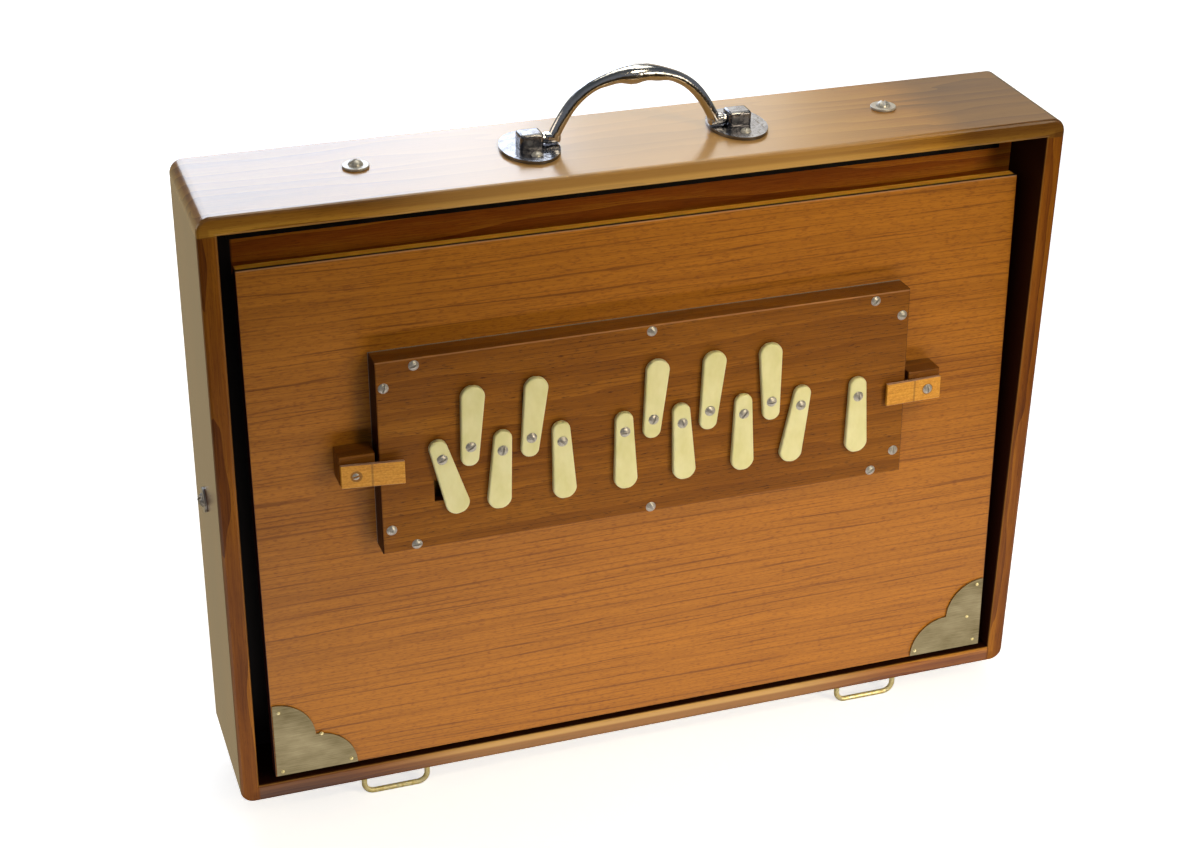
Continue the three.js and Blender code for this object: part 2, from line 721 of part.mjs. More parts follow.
// Clips: a wood block on each side of the reed box and a leather tab screwed to its top
function make_clips() {
  const block_near = half_reed_box + clip_block_gap;
  const block_far = block_near + clip_block_width;
  const block_low = reed_low + clip_block_above_foot;
  const block_top = block_low + clip_block_height;
  const thick = reed_box_thickness - seat_gap;
  const screw_x = block_far - seat_gap - clip_screw_from_end;
  const screw_z = reed_box_thickness + seat_gap + clip_thickness + seat_gap;
  const screw_y = reed_low + clip_screw_above_foot;
  const shank = seat_gap + clip_thickness + clip_screw_bite;
  const half_block = clip_block_width / 2;
  const half_tab = clip_width / 2;
  for (const side of [-1, 1]) {
    const name = side < 0 ? "left" : "right";
    const middle = reed_box_off_centre;
    const outline = rectangle(-half_block, half_block, block_low, block_top);
    const depth = 2 * clip_screw_bite;
    const pilot = new THREE.CylinderGeometry(screw_hole_radius, screw_hole_radius, depth, hole_sides);
    pilot.rotateX(quarter_turn);
    pilot.translate(side * (screw_x - (block_near + block_far) / 2), screw_y, thick);
    const block = cut(slab(outline, thick, clip_block_ease), pilot);
    const block_mesh = add(front_group, "clip_block_" + name, block, reed_wood);
    block_mesh.position.set(middle + (side * (block_near + block_far)) / 2, 0, seat_gap);
    const tab_far = clip_screw_from_end - clip_length;
    const tab = rounded_rectangle(tab_far, clip_screw_from_end, -half_tab, half_tab, clip_corner_radius);
    tab.holes.push(round_hole(0, 0, screw_hole_radius));
    const tab_mesh = add(front_group, "clip_" + name, slab(tab, clip_thickness), clip_leather);
    tab_mesh.position.set(middle + side * screw_x, screw_y, reed_box_thickness + seat_gap);
    tab_mesh.rotation.z = side < 0 ? half_turn : 0;
    const tab_screw = screw(shank, side * slot_step_angle);
    const screw_mesh = add(front_group, "clip_screw_" + name, tab_screw, screw_steel);
    screw_mesh.position.set(middle + side * screw_x, screw_y, screw_z);
  }
}

// Back board, which the player pumps, with its intake holes and their flap on the inner face
function make_back_board() {
  const outline = rectangle(-half_board, half_board, 0, board_height);
  const intake_hole_height = board_height - intake_hole_from_top;
  for (const across of [-air_hole_spread / 2, air_hole_spread / 2]) {
    outline.holes.push(round_hole(across, intake_hole_height, air_hole_radius));
  }
  const board = slab(outline, back_board_thickness).translate(0, 0, -back_board_thickness);
  add(back_group, "back_board", board, facing_wood);
  const flap_top = intake_hole_height + flap_above_hole;
  const flap_face = -back_board_thickness - seat_gap;
  const half_flap = flap_width / 2;
  const flap_back = flap_face - flap_thickness;
  const flap = box(-half_flap, half_flap, flap_top - flap_height, flap_top, flap_back, flap_face);
  add(back_group, "intake_flap", flap, flap_leather);
}

// Bellows: a ring of folded cloth that fills the wedge between a leaning board and the centre board
function bellows_ring(group, thickness) {
  const side = half_board - bellows_inset;
  const top = board_height - bellows_inset;
  const ring = rectangle(-side, side, bellows_inset, top);
  const inside = side - bellows_fold;
  ring.holes.push(rectangle_hole(-inside, inside, bellows_inset + bellows_fold, top - bellows_fold));
  const solid = slab(ring, case_depth).translate(0, 0, -thickness - cloth_gap - case_depth);
  return solid.applyMatrix4(group.matrix);
}

function make_bellows() {
  const out = half_width + cut_overrun;
  const front_room = box(-out, out, -case_depth, centre_board_front - cloth_gap, 0, case_height);
  const back_room = box(-out, out, centre_board_back + cloth_gap, case_depth, 0, case_height);
  const front = shared(bellows_ring(front_group, board_thickness), front_room);
  const back = shared(bellows_ring(back_group, back_board_thickness), back_room);
  add(case_group, "front_bellows", front, black_cloth);
  add(case_group, "back_bellows", back, black_cloth);
}

// Springs inside the front bellows, between the centre board and the back of the front board
function make_springs() {
  const up = (spring_height + spring_radius) * Math.cos(lean);
  const inner_face = board_face_foot + up * Math.tan(lean) + board_thickness / Math.cos(lean);
  const front_end = inner_face + cloth_gap;
  const back_end = centre_board_front - cloth_gap;
  const length = back_end - front_end;
  const middle = (front_end + back_end) / 2;
  const height = case_wall + board_foot_gap + spring_height;
  for (const side of [-1, 1]) {
    const name = side < 0 ? "reservoir_spring_left" : "reservoir_spring_right";
    const spring = new THREE.CylinderGeometry(spring_radius, spring_radius, length, hole_sides);
    const mesh = add(case_group, name, spring, screw_steel);
    mesh.position.set(side * (inner_half_width - spring_from_wall), middle, height);
  }
}

make_case_boards();
make_centre_board();
make_feet();
make_handle_bases();
make_bail();
make_front_board();
make_corner_plates();
make_reed_box();
make_levers();
make_clips();
make_back_board();
make_bellows();
make_springs();

export default shruti_box;
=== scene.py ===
import math

import bmesh
import bpy
from mathutils import Matrix, Vector


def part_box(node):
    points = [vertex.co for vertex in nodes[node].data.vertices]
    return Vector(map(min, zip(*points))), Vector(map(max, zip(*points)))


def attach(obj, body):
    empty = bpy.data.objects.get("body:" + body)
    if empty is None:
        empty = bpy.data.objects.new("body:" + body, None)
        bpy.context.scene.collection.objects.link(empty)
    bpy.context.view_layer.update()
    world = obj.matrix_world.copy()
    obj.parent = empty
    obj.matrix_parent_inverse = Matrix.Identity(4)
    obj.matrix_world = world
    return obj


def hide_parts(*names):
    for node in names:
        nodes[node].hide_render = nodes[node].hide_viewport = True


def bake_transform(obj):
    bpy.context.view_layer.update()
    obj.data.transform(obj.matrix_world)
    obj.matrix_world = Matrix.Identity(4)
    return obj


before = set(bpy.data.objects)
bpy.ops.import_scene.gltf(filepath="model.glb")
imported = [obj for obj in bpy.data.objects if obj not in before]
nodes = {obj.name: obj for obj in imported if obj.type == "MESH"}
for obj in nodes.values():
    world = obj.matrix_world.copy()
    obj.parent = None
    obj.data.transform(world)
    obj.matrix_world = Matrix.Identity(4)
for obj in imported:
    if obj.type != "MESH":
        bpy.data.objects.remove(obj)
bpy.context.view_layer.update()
MM = 0.001

# Camera: the photographer stood to the left of the box and looked down on it.
PHOTO_WIDTH = 1200
PHOTO_FOCAL = 2211.97
SENSOR_WIDTH = 36
camera_place = Vector((-317.488, -880.688, 686.495)) * MM
camera_azimuth = math.radians(-19.03)
camera_elevation = math.radians(28.856)
camera_roll = math.radians(0.878)

away = Vector((
    math.sin(camera_azimuth) * math.cos(camera_elevation),
    -math.cos(camera_azimuth) * math.cos(camera_elevation),
    math.sin(camera_elevation),
))
level_right = (-away).cross(Vector((0, 0, 1))).normalized()
level_up = level_right.cross(-away)
camera_right = level_right * math.cos(camera_roll) + level_up * math.sin(camera_roll)
camera_up = level_up * math.cos(camera_roll) - level_right * math.sin(camera_roll)
camera_data = bpy.data.cameras.new("camera")
camera_data.sensor_width = SENSOR_WIDTH
camera_data.lens = PHOTO_FOCAL / PHOTO_WIDTH * SENSOR_WIDTH
camera = bpy.data.objects.new("camera", camera_data)
bpy.context.collection.objects.link(camera)
turn = Matrix((camera_right, camera_up, away)).transposed().to_4x4()
camera.matrix_world = Matrix.Translation(camera_place) @ turn
bpy.context.scene.camera = camera


# Studio: a pale paper floor, a key and an upper light at the player's right, a low card and a glow off
# the table that lift the foot of the box, and three overlapping panels behind it for the varnished top.
def srgb(code):
    """A colour written as sRGB hex, as linear numbers with alpha."""
    channels = [int(code[i:i + 2], 16) / 255 for i in (1, 3, 5)]
    return [c / 12.92 if c <= 0.04045 else ((c + 0.055) / 1.055) ** 2.4 for c in channels] + [1]


def add(tree, kind, inputs=None, stops=None, **settings):
    """Adds a node with its settings; an input is a constant, a colour's hex code or what feeds it."""
    node = tree.nodes.new(kind)
    for name, value in settings.items():
        setattr(node, name, value)
    for place, value in (inputs or {}).items():
        if isinstance(value, bpy.types.NodeSocket):
            tree.links.new(value, node.inputs[place])
        else:
            node.inputs[place].default_value = srgb(value) if isinstance(value, str) else value
    if stops:
        ramp = node.color_ramp
        while len(ramp.elements) < len(stops):
            ramp.elements.new(1)
        for element, (position, code) in zip(ramp.elements, stops):
            element.position = position
            element.color = srgb(code)
    return node


def past(tree, *limits):
    """How far a place is past all its limits, as a product. Each limit is a value, its start and its end,
    and may add what it gives before the start and past the end, instead of 0 and 1."""
    product = None
    for value, start, end, *ends in limits:
        low, high = ends or (0.0, 1.0)
        share = add(tree, "ShaderNodeMapRange", {"Value": value, 1: start, 2: end, 3: low, 4: high},
                    interpolation_type="SMOOTHSTEP").outputs["Result"]
        if product:
            share = add(tree, "ShaderNodeMath", {0: product, 1: share}, operation="MULTIPLY").outputs[0]
        product = share
    return product


def cover(tree, under, over, *limits, way="MIX"):
    """Lays one colour over another where a place is past all its limits."""
    mixed = add(tree, "ShaderNodeMix", {0: past(tree, *limits), 6: under, 7: over},
                data_type="RGBA", blend_type=way)
    return mixed.outputs[2]


def finish_of(name, **surface):
    """A new material with one shader: its node tree, the shader and the material."""
    material = bpy.data.materials.new(name)
    material.use_nodes = True
    tree = material.node_tree
    tree.nodes.clear()
    values = {key.replace("_", " ").title().replace("Ior", "IOR"): value
              for key, value in surface.items()}
    shader = add(tree, "ShaderNodeBsdfPrincipled", values)
    add(tree, "ShaderNodeOutputMaterial", {"Surface": shader.outputs["BSDF"]})
    return tree, shader, material


def tint(tree, shader, value, stops, rough=None):
    """Colours a surface by a value of 0 to 1; rough holds what turns the value into its roughness."""
    colour = add(tree, "ShaderNodeValToRGB", {"Fac": value}, stops).outputs["Color"]
    tree.links.new(colour, shader.inputs["Base Color"])
    if rough:
        tree.links.new(past(tree, (value, *rough)), shader.inputs["Roughness"])


def soft_light(name, place, target, width, height, power, colour, spread=180):
    """An area light in metres and watts; a narrow spread in degrees fades away from its aim."""
    data = bpy.data.lights.new(name, "AREA")
    data.shape = "RECTANGLE"
    data.size = width
    data.size_y = height
    data.energy = power
    data.color = srgb(colour)[:3]
    data.spread = math.radians(spread)
    light = bpy.data.objects.new(name, data)
    light.location = place
    light.rotation_mode = "QUATERNION"
    light.rotation_quaternion = (Vector(target) - Vector(place)).to_track_quat("-Z", "Y")
    bpy.context.collection.objects.link(light)
    return light


soft_light("key_softbox", (0.5, -0.76, 0.4), (0.09, 0, 0.0), 0.3, 0.3, 0.42, "#ffecc8", 60)
soft_light("upper_softbox", (0.25, -0.6, 0.85), (0.07, 0, 0.28), 0.2, 0.2, 0.2, "#ffeac0", 45)
soft_light("left_softbox", (-1.2, 0.3, 0.5), (-0.2, 0, 0.12), 0.6, 0.6, 2.2, "#ffedd0")
low_card = soft_light("low_card", (0.06, -0.36, 0.035), (0.06, -0.03, 0.05), 0.7, 0.06, 0.75, "#fff4ea")
low_card.visible_glossy = False
soft_light("table_glow", (0.06, -0.16, 0.004), (0.06, -0.16, 1.0), 0.9, 0.24, 0.66, "#fff6ec")
soft_light("overhead_softbox", (0.1, 0.1, 0.8), (0.04, 0, 0.3), 0.45, 0.3, 1.4, "#f8f2de")
PANELS_LEFT = -0.75
BACK_PANELS = [(0.6, 20, "#e8f2ff"), (0.98, 11, "#f8f4e8"), (2.6, 6.5, "#ffe0b0")]
for count, (right, power, colour) in enumerate(BACK_PANELS):
    middle = (right + PANELS_LEFT) / 2
    soft_light(f"back_panel_{count + 1}", (middle, 2.0, 1.2), (middle, 0, 0.32),
               right - PANELS_LEFT, 0.9, power, colour)

world = bpy.data.worlds.new("studio")
bpy.context.scene.world = world
world.use_nodes = True
sky = world.node_tree
ways = add(sky, "ShaderNodeSeparateXYZ", {0: add(sky, "ShaderNodeTexCoord").outputs["Generated"]}).outputs
ground = cover(sky, "#54452e", "#ffe9b8", (ways[1], 0.0, 0.7))
horizon = cover(sky, ground, "#a2a6ac", (ways[2], -0.06, 0.06))
surround = cover(sky, horizon, "#6a7276", (ways[2], 0.3, 0.9))
sky.links.new(surround, sky.nodes["Background"].inputs["Color"])
sky.nodes["Background"].inputs["Strength"].default_value = 0.48
bpy.context.scene.view_settings.view_transform = "Standard"

# Wood-free paper, matt with a fine tooth. It glows a little, so that it stays white round the box.
tree, shader, paper = finish_of("matt white paper", roughness=0.9, specular_ior_level=0.1,
                                emission_color="#ffffff", emission_strength=0.7)
coords = add(tree, "ShaderNodeTexCoord").outputs["Object"]
tooth = add(tree, "ShaderNodeTexNoise", {"Vector": coords, "Scale": 900, "Detail": 2}).outputs["Fac"]
tint(tree, shader, tooth, [(0.3, "#f3f3f3"), (0.7, "#f8f8f8")])
bpy.ops.object.select_all(action="DESELECT")
bpy.ops.mesh.primitive_plane_add(size=14, location=(0, 0, 0))
floor = bpy.context.object
floor.name = "paper_floor"
floor.data.materials.append(paper)
floor.visible_glossy = False
floor.visible_diffuse = False


# Case: four 9 mm boards of teak, glued at the corners, rounded over outside and spray varnished until
# the pores are closed. The inner faces are coloured nearly black: painted shade for the dark inside the
# case.
def sizes_along(grain, along, across):
    """Feature sizes in mm for a pattern that runs along one axis."""
    return [along if axis == grain else across for axis in range(3)]


def object_mm(tree):
    """Object coordinates in millimetres."""
    coords = add(tree, "ShaderNodeTexCoord").outputs["Object"]
    return add(tree, "ShaderNodeVectorMath", {0: coords, "Scale": 1000}, operation="SCALE").outputs[0]


def streaks(tree, mm, sizes, detail=2, shift=0):
    """Noise whose features have these sizes in mm along X, Y and Z."""
    stretched = add(tree, "ShaderNodeMapping", {
        "Vector": mm, "Location": (shift, shift, shift), "Scale": [1 / size for size in sizes],
    })
    noise = {"Vector": stretched.outputs["Vector"], "Scale": 1, "Detail": detail, "Roughness": 0.6}
    return add(tree, "ShaderNodeTexNoise", noise).outputs["Fac"]


def sum_of(tree, *terms):
    """Adds up (output, factor) pairs; one pair gives its product."""
    total = 0.0
    for output, factor in terms:
        step = add(tree, "ShaderNodeMath", {0: output, 1: factor, 2: total}, operation="MULTIPLY_ADD")
        total = step.outputs[0]
    return total


def off(tree, value, middle=0.0):
    """How far a value lies from a middle one, to either side."""
    level = sum_of(tree, (value, 1.0), (1.0, -middle)) if middle else value
    return add(tree, "ShaderNodeMath", {0: level}, operation="ABSOLUTE").outputs[0]


def roughen(tree, shader, height, depth_mm, strength=1.0, of="Normal"):
    """Bump from a height of 0 to 1, of the surface or of its clear coat."""
    relief = {"Height": height, "Distance": depth_mm * MM, "Strength": strength}
    bump = add(tree, "ShaderNodeBump", relief)
    tree.links.new(bump.outputs["Normal"], shader.inputs[of])


def bands(tree, level, spacing, profile="SIN", phase=0.0):
    """Waves of 0 to 1 that repeat every so many mm of a level."""
    place = add(tree, "ShaderNodeCombineXYZ", {0: level, 1: 0.0, 2: 0.0}).outputs[0]
    return add(tree, "ShaderNodeTexWave", {
        "Vector": place, "Scale": math.pi / 10 / spacing, "Distortion": 0, "Phase Offset": phase,
    }, wave_type="BANDS", bands_direction="X", wave_profile=profile).outputs["Fac"]


def planed_wood(tree, grain, tones, ring_mm, drift_mm, seed=0, fleck_share=0.35, figure=0.42):
    """Millimetres, colour and height of planed wood: growth rings that drift, fine fibre, open pores."""
    mm = object_mm(tree)
    places = add(tree, "ShaderNodeSeparateXYZ", {0: mm}).outputs
    drift = streaks(tree, mm, sizes_along(grain, 260, 34), 3, seed)
    across = [places[axis] for axis in range(3) if axis != grain]
    level = sum_of(tree, (across[0], 0.55), (across[1], 0.84), (drift, drift_mm))
    rings = bands(tree, level, ring_mm, "SAW", seed)
    fibre = streaks(tree, mm, sizes_along(grain, 22, 0.55), 3, seed)
    patches = streaks(tree, mm, sizes_along(grain, 150, 26), 2, seed + 7)
    depth = sum_of(tree, (rings, figure), (fibre, 0.5), (patches, 0.55), (1.0, -0.03 - figure / 2))
    colour = add(tree, "ShaderNodeValToRGB", {"Fac": depth}, tones).outputs["Color"]
    pores = streaks(tree, mm, sizes_along(grain, 4.5, 0.3), 1, seed + 3)
    flecks = (pores, 0.6, 0.72, 0.0, fleck_share)
    colour = cover(tree, colour, tones[-1][1], flecks)
    height = sum_of(tree, (fibre, 0.4), (past(tree, flecks), -0.6))
    return mm, places, colour, height


def grain_lines(tree, mm, colour, spacing, share, ink, seed):
    """Thin level lines a few mm apart that wander a little and fade in and out."""
    height = add(tree, "ShaderNodeSeparateXYZ", {0: mm}).outputs[2]
    drift = streaks(tree, mm, (380, 30, 36), 2, seed)
    shiver = streaks(tree, mm, (50, 30, 3), 2, seed + 1)
    level = sum_of(tree, (height, 1.0), (drift, 4 * spacing), (shiver, 0.35 * spacing))
    waves = bands(tree, level, spacing)
    patches = streaks(tree, mm, (70, 30, 2.5), 2, seed + 2)
    return cover(tree, colour, ink, (waves, 0.9, 1.0), (patches, 0.4, 0.62, 0.1 * share, share))


TOP_TEAK = [(0.25, "#c29236"), (0.5, "#aa7824"), (0.72, "#845818"), (0.92, "#48280a")]
BOTTOM_TEAK = [(0.25, "#b0761e"), (0.5, "#985c14"), (0.72, "#78420a"), (0.92, "#421e04")]
SIDE_TEAK = [(0.25, "#9b6315"), (0.5, "#804a0e"), (0.72, "#603309"), (0.92, "#361804")]
CASE_WALL = 9
inner_half_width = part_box("frame_right")[0].x / MM
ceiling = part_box("frame_top")[1].z / MM - CASE_WALL
case_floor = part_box("frame_bottom")[0].z / MM + CASE_WALL


def varnished_teak(name, grain, tones, seed, band_share, dark_end_span=None):
    """Teak with its pores closed: a deep gloss over rings 6.5 mm apart, nearly black inside as painted
    shade.
    Its front edge darkens outwards by the band's share, and its dark end lies between two places in X."""
    tree, shader, material = finish_of(name, roughness=0.5, specular_ior_level=0.1, coat_roughness=0.19)
    _, places, colour, height = planed_wood(tree, grain, tones, 6.5, 26, seed, figure=0.3)
    aside = off(tree, places[0])
    sideways = sum_of(tree, (aside, 1.0), (1.0, -inner_half_width))
    upwards = sum_of(tree, (places[2], 1.0), (1.0, -ceiling))
    downwards = sum_of(tree, (places[2], -1.0), (1.0, case_floor))
    higher = add(tree, "ShaderNodeMath", {0: upwards, 1: downwards}, operation="MAXIMUM").outputs[0]
    # How far a point lies from the walls' inner faces, in mm.
    outwards = add(tree, "ShaderNodeMath", {0: sideways, 1: higher}, operation="MAXIMUM").outputs[0]
    if grain == 0:
        # Painted sheen: the top and bottom boards are paler towards the middle of their length, where
        # light falls on them. Towards one end they are darker.
        middle_sheen = (aside, 70, 150, 0.7, 0.0)
        dark_end = (places[0], *dark_end_span, 0.0, 0.6)
        colour = cover(tree, cover(tree, colour, "#cca664", middle_sheen), "#3a1c08", dark_end)
    outer_band = (outwards, 2.6, 4.4, 0.0, band_share)
    # Worn arris and painted highlight: a pale line along the inner arrises.
    worn_arris_highlight = (outwards, 0.5, 1.3, 0.25, 0.0)
    # Painted shade: the inner faces are coloured nearly black, for the dark inside the case.
    shaded_inside = (outwards, 0.1, 0.6, 1.0, 0.0)
    colour = cover(tree, colour, "#a0785c", outer_band, way="MULTIPLY")
    colour = cover(tree, colour, "#a8803c", worn_arris_highlight)
    colour = cover(tree, colour, "#280f05", shaded_inside)
    tree.links.new(colour, shader.inputs["Base Color"])
    glossy = [(outwards, 0.5, 1.9)]
    if grain == 2:
        normal = add(tree, "ShaderNodeNewGeometry").outputs["Normal"]
        facing_out = off(tree, add(tree, "ShaderNodeSeparateXYZ", {0: normal}).outputs[0])
        glossy.append((facing_out, 0.1, 0.6, 0.25, 1.0))
    tree.links.new(past(tree, *glossy), shader.inputs["Coat Weight"])
    roughen(tree, shader, height, 0.05, 0.5)
    roughen(tree, shader, height, 0.03, 0.35, "Coat Normal")
    return material


def select_only(piece):
    """Leaves one piece selected and active."""
    bpy.ops.object.select_all(action="DESELECT")
    piece.select_set(True)
    bpy.context.view_layer.objects.active = piece


def shade(piece, angle=30):
    """Shades turns of less than an angle in degrees as curves."""
    select_only(piece)
    bpy.ops.object.shade_smooth_by_angle(angle=math.radians(angle))


def dress(material, *names):
    """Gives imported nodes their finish."""
    for name in names:
        piece = nodes[name]
        piece.data.materials.clear()
        piece.data.materials.append(material)
        shade(piece)


dress(varnished_teak("varnished teak, top", 0, TOP_TEAK, 3.1, 0.4, (130, 160)), "frame_top")
dress(varnished_teak("varnished teak, bottom", 0, BOTTOM_TEAK, 9.6, 0.7, (-90, -170)), "frame_bottom")
dress(varnished_teak("varnished teak, sides", 2, SIDE_TEAK, 8.4, 0.3), "frame_left", "frame_right")


# Round-head wood screws, nickel plated steel with a sawn slot. Those through the case sit on a domed
# washer; the ten small ones round the reed board hold it to its rim.
def begin(primitive, **place):
    """Adds a primitive by itself and opens it for editing."""
    bpy.ops.object.select_all(action="DESELECT")
    primitive(**place)
    bpy.ops.object.mode_set(mode="EDIT")
    return bpy.context.object


def open_box(size, middle):
    """Begins a box from its size and its middle in mm."""
    begin(bpy.ops.mesh.primitive_cube_add, size=1, location=Vector(middle) * MM, scale=Vector(size) * MM)


def choose(kind, test):
    """In edit mode, selects the vertices, edges or faces whose middle passes the test."""
    bpy.ops.mesh.select_mode(type=kind)
    bpy.ops.mesh.select_all(action="DESELECT")
    shape = bmesh.from_edit_mesh(bpy.context.object.data)
    for part in {"VERT": shape.verts, "EDGE": shape.edges, "FACE": shape.faces}[kind]:
        corners = [part.co] if kind == "VERT" else [corner.co for corner in part.verts]
        part.select_set(bool(test(sum(corners, Vector()) / len(corners), part)))
    shape.select_flush_mode()
    bmesh.update_edit_mesh(bpy.context.object.data)


def spans(edge, axis):
    """How far an edge reaches along an axis."""
    return abs(edge.verts[0].co[axis] - edge.verts[1].co[axis])


def change(piece, kind, **settings):
    """Adds a modifier to a piece and applies it."""
    modifier = piece.modifiers.new("shape", kind)
    for name, value in settings.items():
        setattr(modifier, name, value)
    select_only(piece)
    bpy.ops.object.modifier_apply(modifier="shape")


def ease(piece, width, segments, angle):
    """Rounds the edges that turn by more than an angle in degrees; the width is in mm."""
    change(piece, "BEVEL", width=width * MM, segments=segments, limit_method="ANGLE",
           angle_limit=math.radians(angle))


def join_or_cut(piece, tool, operation):
    """Joins a tool to a piece or cuts it out of it, and removes the tool."""
    change(piece, "BOOLEAN", object=tool, operation=operation, solver="EXACT")
    bpy.data.objects.remove(tool)


def close_edit(smooth=30):
    """Leaves edit mode with the place in the mesh and the normals outward."""
    piece = bpy.context.object
    bpy.ops.mesh.select_mode(type="VERT")
    bpy.ops.mesh.select_all(action="SELECT")
    bpy.ops.mesh.normals_make_consistent(inside=False)
    bpy.ops.object.mode_set(mode="OBJECT")
    select_only(piece)
    bpy.ops.object.transform_apply(location=True, rotation=True, scale=True)
    shade(piece, smooth)
    return piece


def copy_of(piece, matrix):
    """A copy with its own mesh, moved by a matrix."""
    copy = piece.copy()
    copy.data = piece.data.copy()
    copy.data.transform(matrix)
    bpy.context.collection.objects.link(copy)
    return copy


def hand_over(piece, name, material, body, slot, *stands_for):
    """Names a finished piece, gives it its finish and body, and hides the solids that it stands for."""
    piece.name = name
    piece.data.name = name
    piece.data.materials.clear()
    piece.data.materials.append(material)
    if body:
        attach(piece, body)
    if stands_for:
        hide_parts(*stands_for)


def facing(place, outward, turn=0.0):
    """Takes a shape modelled on z = 0 to a place in mm, with its Z axis along outward."""
    outward = Vector(outward)
    side = Vector((1, 0, 0)) if abs(outward.x) < 0.5 else Vector((0, 1, 0))
    side = (side - outward * side.dot(outward)).normalized()
    axes = Matrix((side, outward.cross(side), outward)).transposed().to_4x4()
    return Matrix.Translation(Vector(place) * MM) @ axes @ Matrix.Rotation(turn, 4, "Z")


def round_head(radius, height, slot_width, slot_depth):
    """A slotted round head standing on z = 0, in mm."""
    ball = (radius ** 2 + height ** 2) / (2 * height)
    head = begin(bpy.ops.mesh.primitive_uv_sphere_add, segments=32, ring_count=24, radius=ball * MM,
                 location=(0, 0, (height - ball) * MM))
    bpy.ops.mesh.bisect(plane_co=(0, 0, 0), plane_no=(0, 0, 1), use_fill=True, clear_inner=True)
    close_edit()
    open_box((3 * radius, slot_width, slot_depth + 2), (0, 0, height - slot_depth / 2 + 1))
    saw = close_edit()
    join_or_cut(head, saw, "DIFFERENCE")
    ease(head, 0.1, 2, 35)
    shade(head, 40)
    return head


# Nickel plate over turned steel: silvery grey, dulled in spots of half a millimetre.
tree, shader, screw_nickel = finish_of("nickel plated steel", metallic=0.55)
mm = object_mm(tree)
dulled = streaks(tree, mm, (0.5, 0.5, 0.5), 2, 2)
tint(tree, shader, dulled, [(0.3, "#9a9690"), (0.7, "#d2d0cc")], (0.3, 0.75, 0.3, 0.45))
roughen(tree, shader, dulled, 0.02, 0.6)

# The front board in mm; all that is fixed to it is placed from the foot of its front face.
BOARD_HALF, BOARD_HEIGHT, BOARD_SHIFT, BOARD_LEAN = 187.5, 261, 1.7, 13.66
CASE_MIDDLE_Y = 3.9106
LEAN = math.asin(BOARD_LEAN / BOARD_HEIGHT)
BOARD_FOOT = Vector((0, CASE_MIDDLE_Y - 33.55, 23.4))
UP = Vector((0, math.sin(LEAN), math.cos(LEAN)))
OUT = Vector((0, -math.cos(LEAN), math.sin(LEAN)))


def on_board(x, up, out):
    """A point of the front board in mm: across from the case's middle, up its face, out of its face."""
    return BOARD_FOOT + Vector((x, 0, 0)) + UP * up + OUT * out


def over_node(name, up, out):
    """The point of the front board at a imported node's middle in X, in mm."""
    low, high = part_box(name)
    return on_board((low.x + high.x) / 2 / MM, up, out)


SEAT_GAP = 0.15
REED_FACE = 12.7
LEVER_LIFT, LEVER_THICK = 0.2, 3
TAB_UP, TAB_THICK = 162.4, 2
LOWER_PIVOT, UPPER_PIVOT = 164.4, 168.6
NOTES = ("c", "d", "e", "f", "g", "a", "b", "c2", "cs", "ds", "fs", "gs", "as")
PIVOT_UP = {note: UPPER_PIVOT if note.endswith("s") else LOWER_PIVOT for note in NOTES}
SCREW_TURNS = (20, 75, 140, 5, 110, 50, 160, 95, 35, 125, 65, 150, 10, 85, 45)
small_head = round_head(2.6, 1.3, 0.95, 1.05)
for count, place in enumerate([
    (-112.3, 211.5), (-126.5, 202.3), (-125.8, 130.6), (-114.2, 121.5), (0, 121.1),
    (112.3, 211.5), (126.5, 202.3), (125.8, 130.6), (114.2, 121.5), (0, 212),
]):
    spot = facing(on_board(*place, REED_FACE - SEAT_GAP), OUT, math.radians(SCREW_TURNS[count]))
    head = copy_of(small_head, spot)
    hand_over(head, f"reed_board_screw_{count + 1}", screw_nickel, "front", "screw_steel")

seats = [(f"lever_screw_{note}", up, LEVER_LIFT + LEVER_THICK, SCREW_TURNS[count])
         for count, (note, up) in enumerate(PIVOT_UP.items())]
seats += [(f"clip_screw_{side}", TAB_UP, SEAT_GAP + TAB_THICK, turn)
          for side, turn in (("left", 15), ("right", 100))]
for node, up, out, turn in seats:
    spot = facing(over_node(node, up, REED_FACE + out), OUT, math.radians(turn))
    hand_over(copy_of(small_head, spot), f"{node}_head", screw_nickel, "front", "screw_steel", node)
bpy.data.objects.remove(small_head)

WASHER_CROWN = 1.15
case_head = round_head(3.5, 2.4, 1.2, 1.5)
washer = begin(bpy.ops.mesh.primitive_cylinder_add, vertices=48, radius=6 * MM, depth=1.2 * MM,
               location=(0, 0, 0.6 * MM))
choose("FACE", lambda middle, face: middle.z > 1.1 * MM)
bpy.ops.mesh.inset(thickness=1.6 * MM, depth=0.5 * MM)
bpy.ops.mesh.inset(thickness=1.4 * MM, depth=-0.3 * MM)
close_edit()
ease(washer, 0.25, 3, 30)
case_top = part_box("frame_top")[1].z / MM
half_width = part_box("frame_right")[1].x / MM
for name, place, outward, turn in (
    ("top_left", (-126.5, 5.9, case_top), (0, 0, 1), 30),
    ("top_right", (126.5, 5.9, case_top), (0, 0, 1), 70),
    ("side_left", (-half_width, 10.2, 158.8), (-1, 0, 0), 55),
    ("side_right", (half_width, 10.2, 158.8), (1, 0, 0), 120),
):
    seat = facing(place, outward, math.radians(turn))
    lifted = facing(Vector(place) + Vector(outward) * WASHER_CROWN, outward, math.radians(turn))
    hand_over(copy_of(washer, seat), f"case_washer_{name}", screw_nickel, "case", "screw_steel")
    hand_over(copy_of(case_head, lifted), f"case_screw_{name}", screw_nickel, "case", "screw_steel")
bpy.data.objects.remove(washer)
bpy.data.objects.remove(case_head)
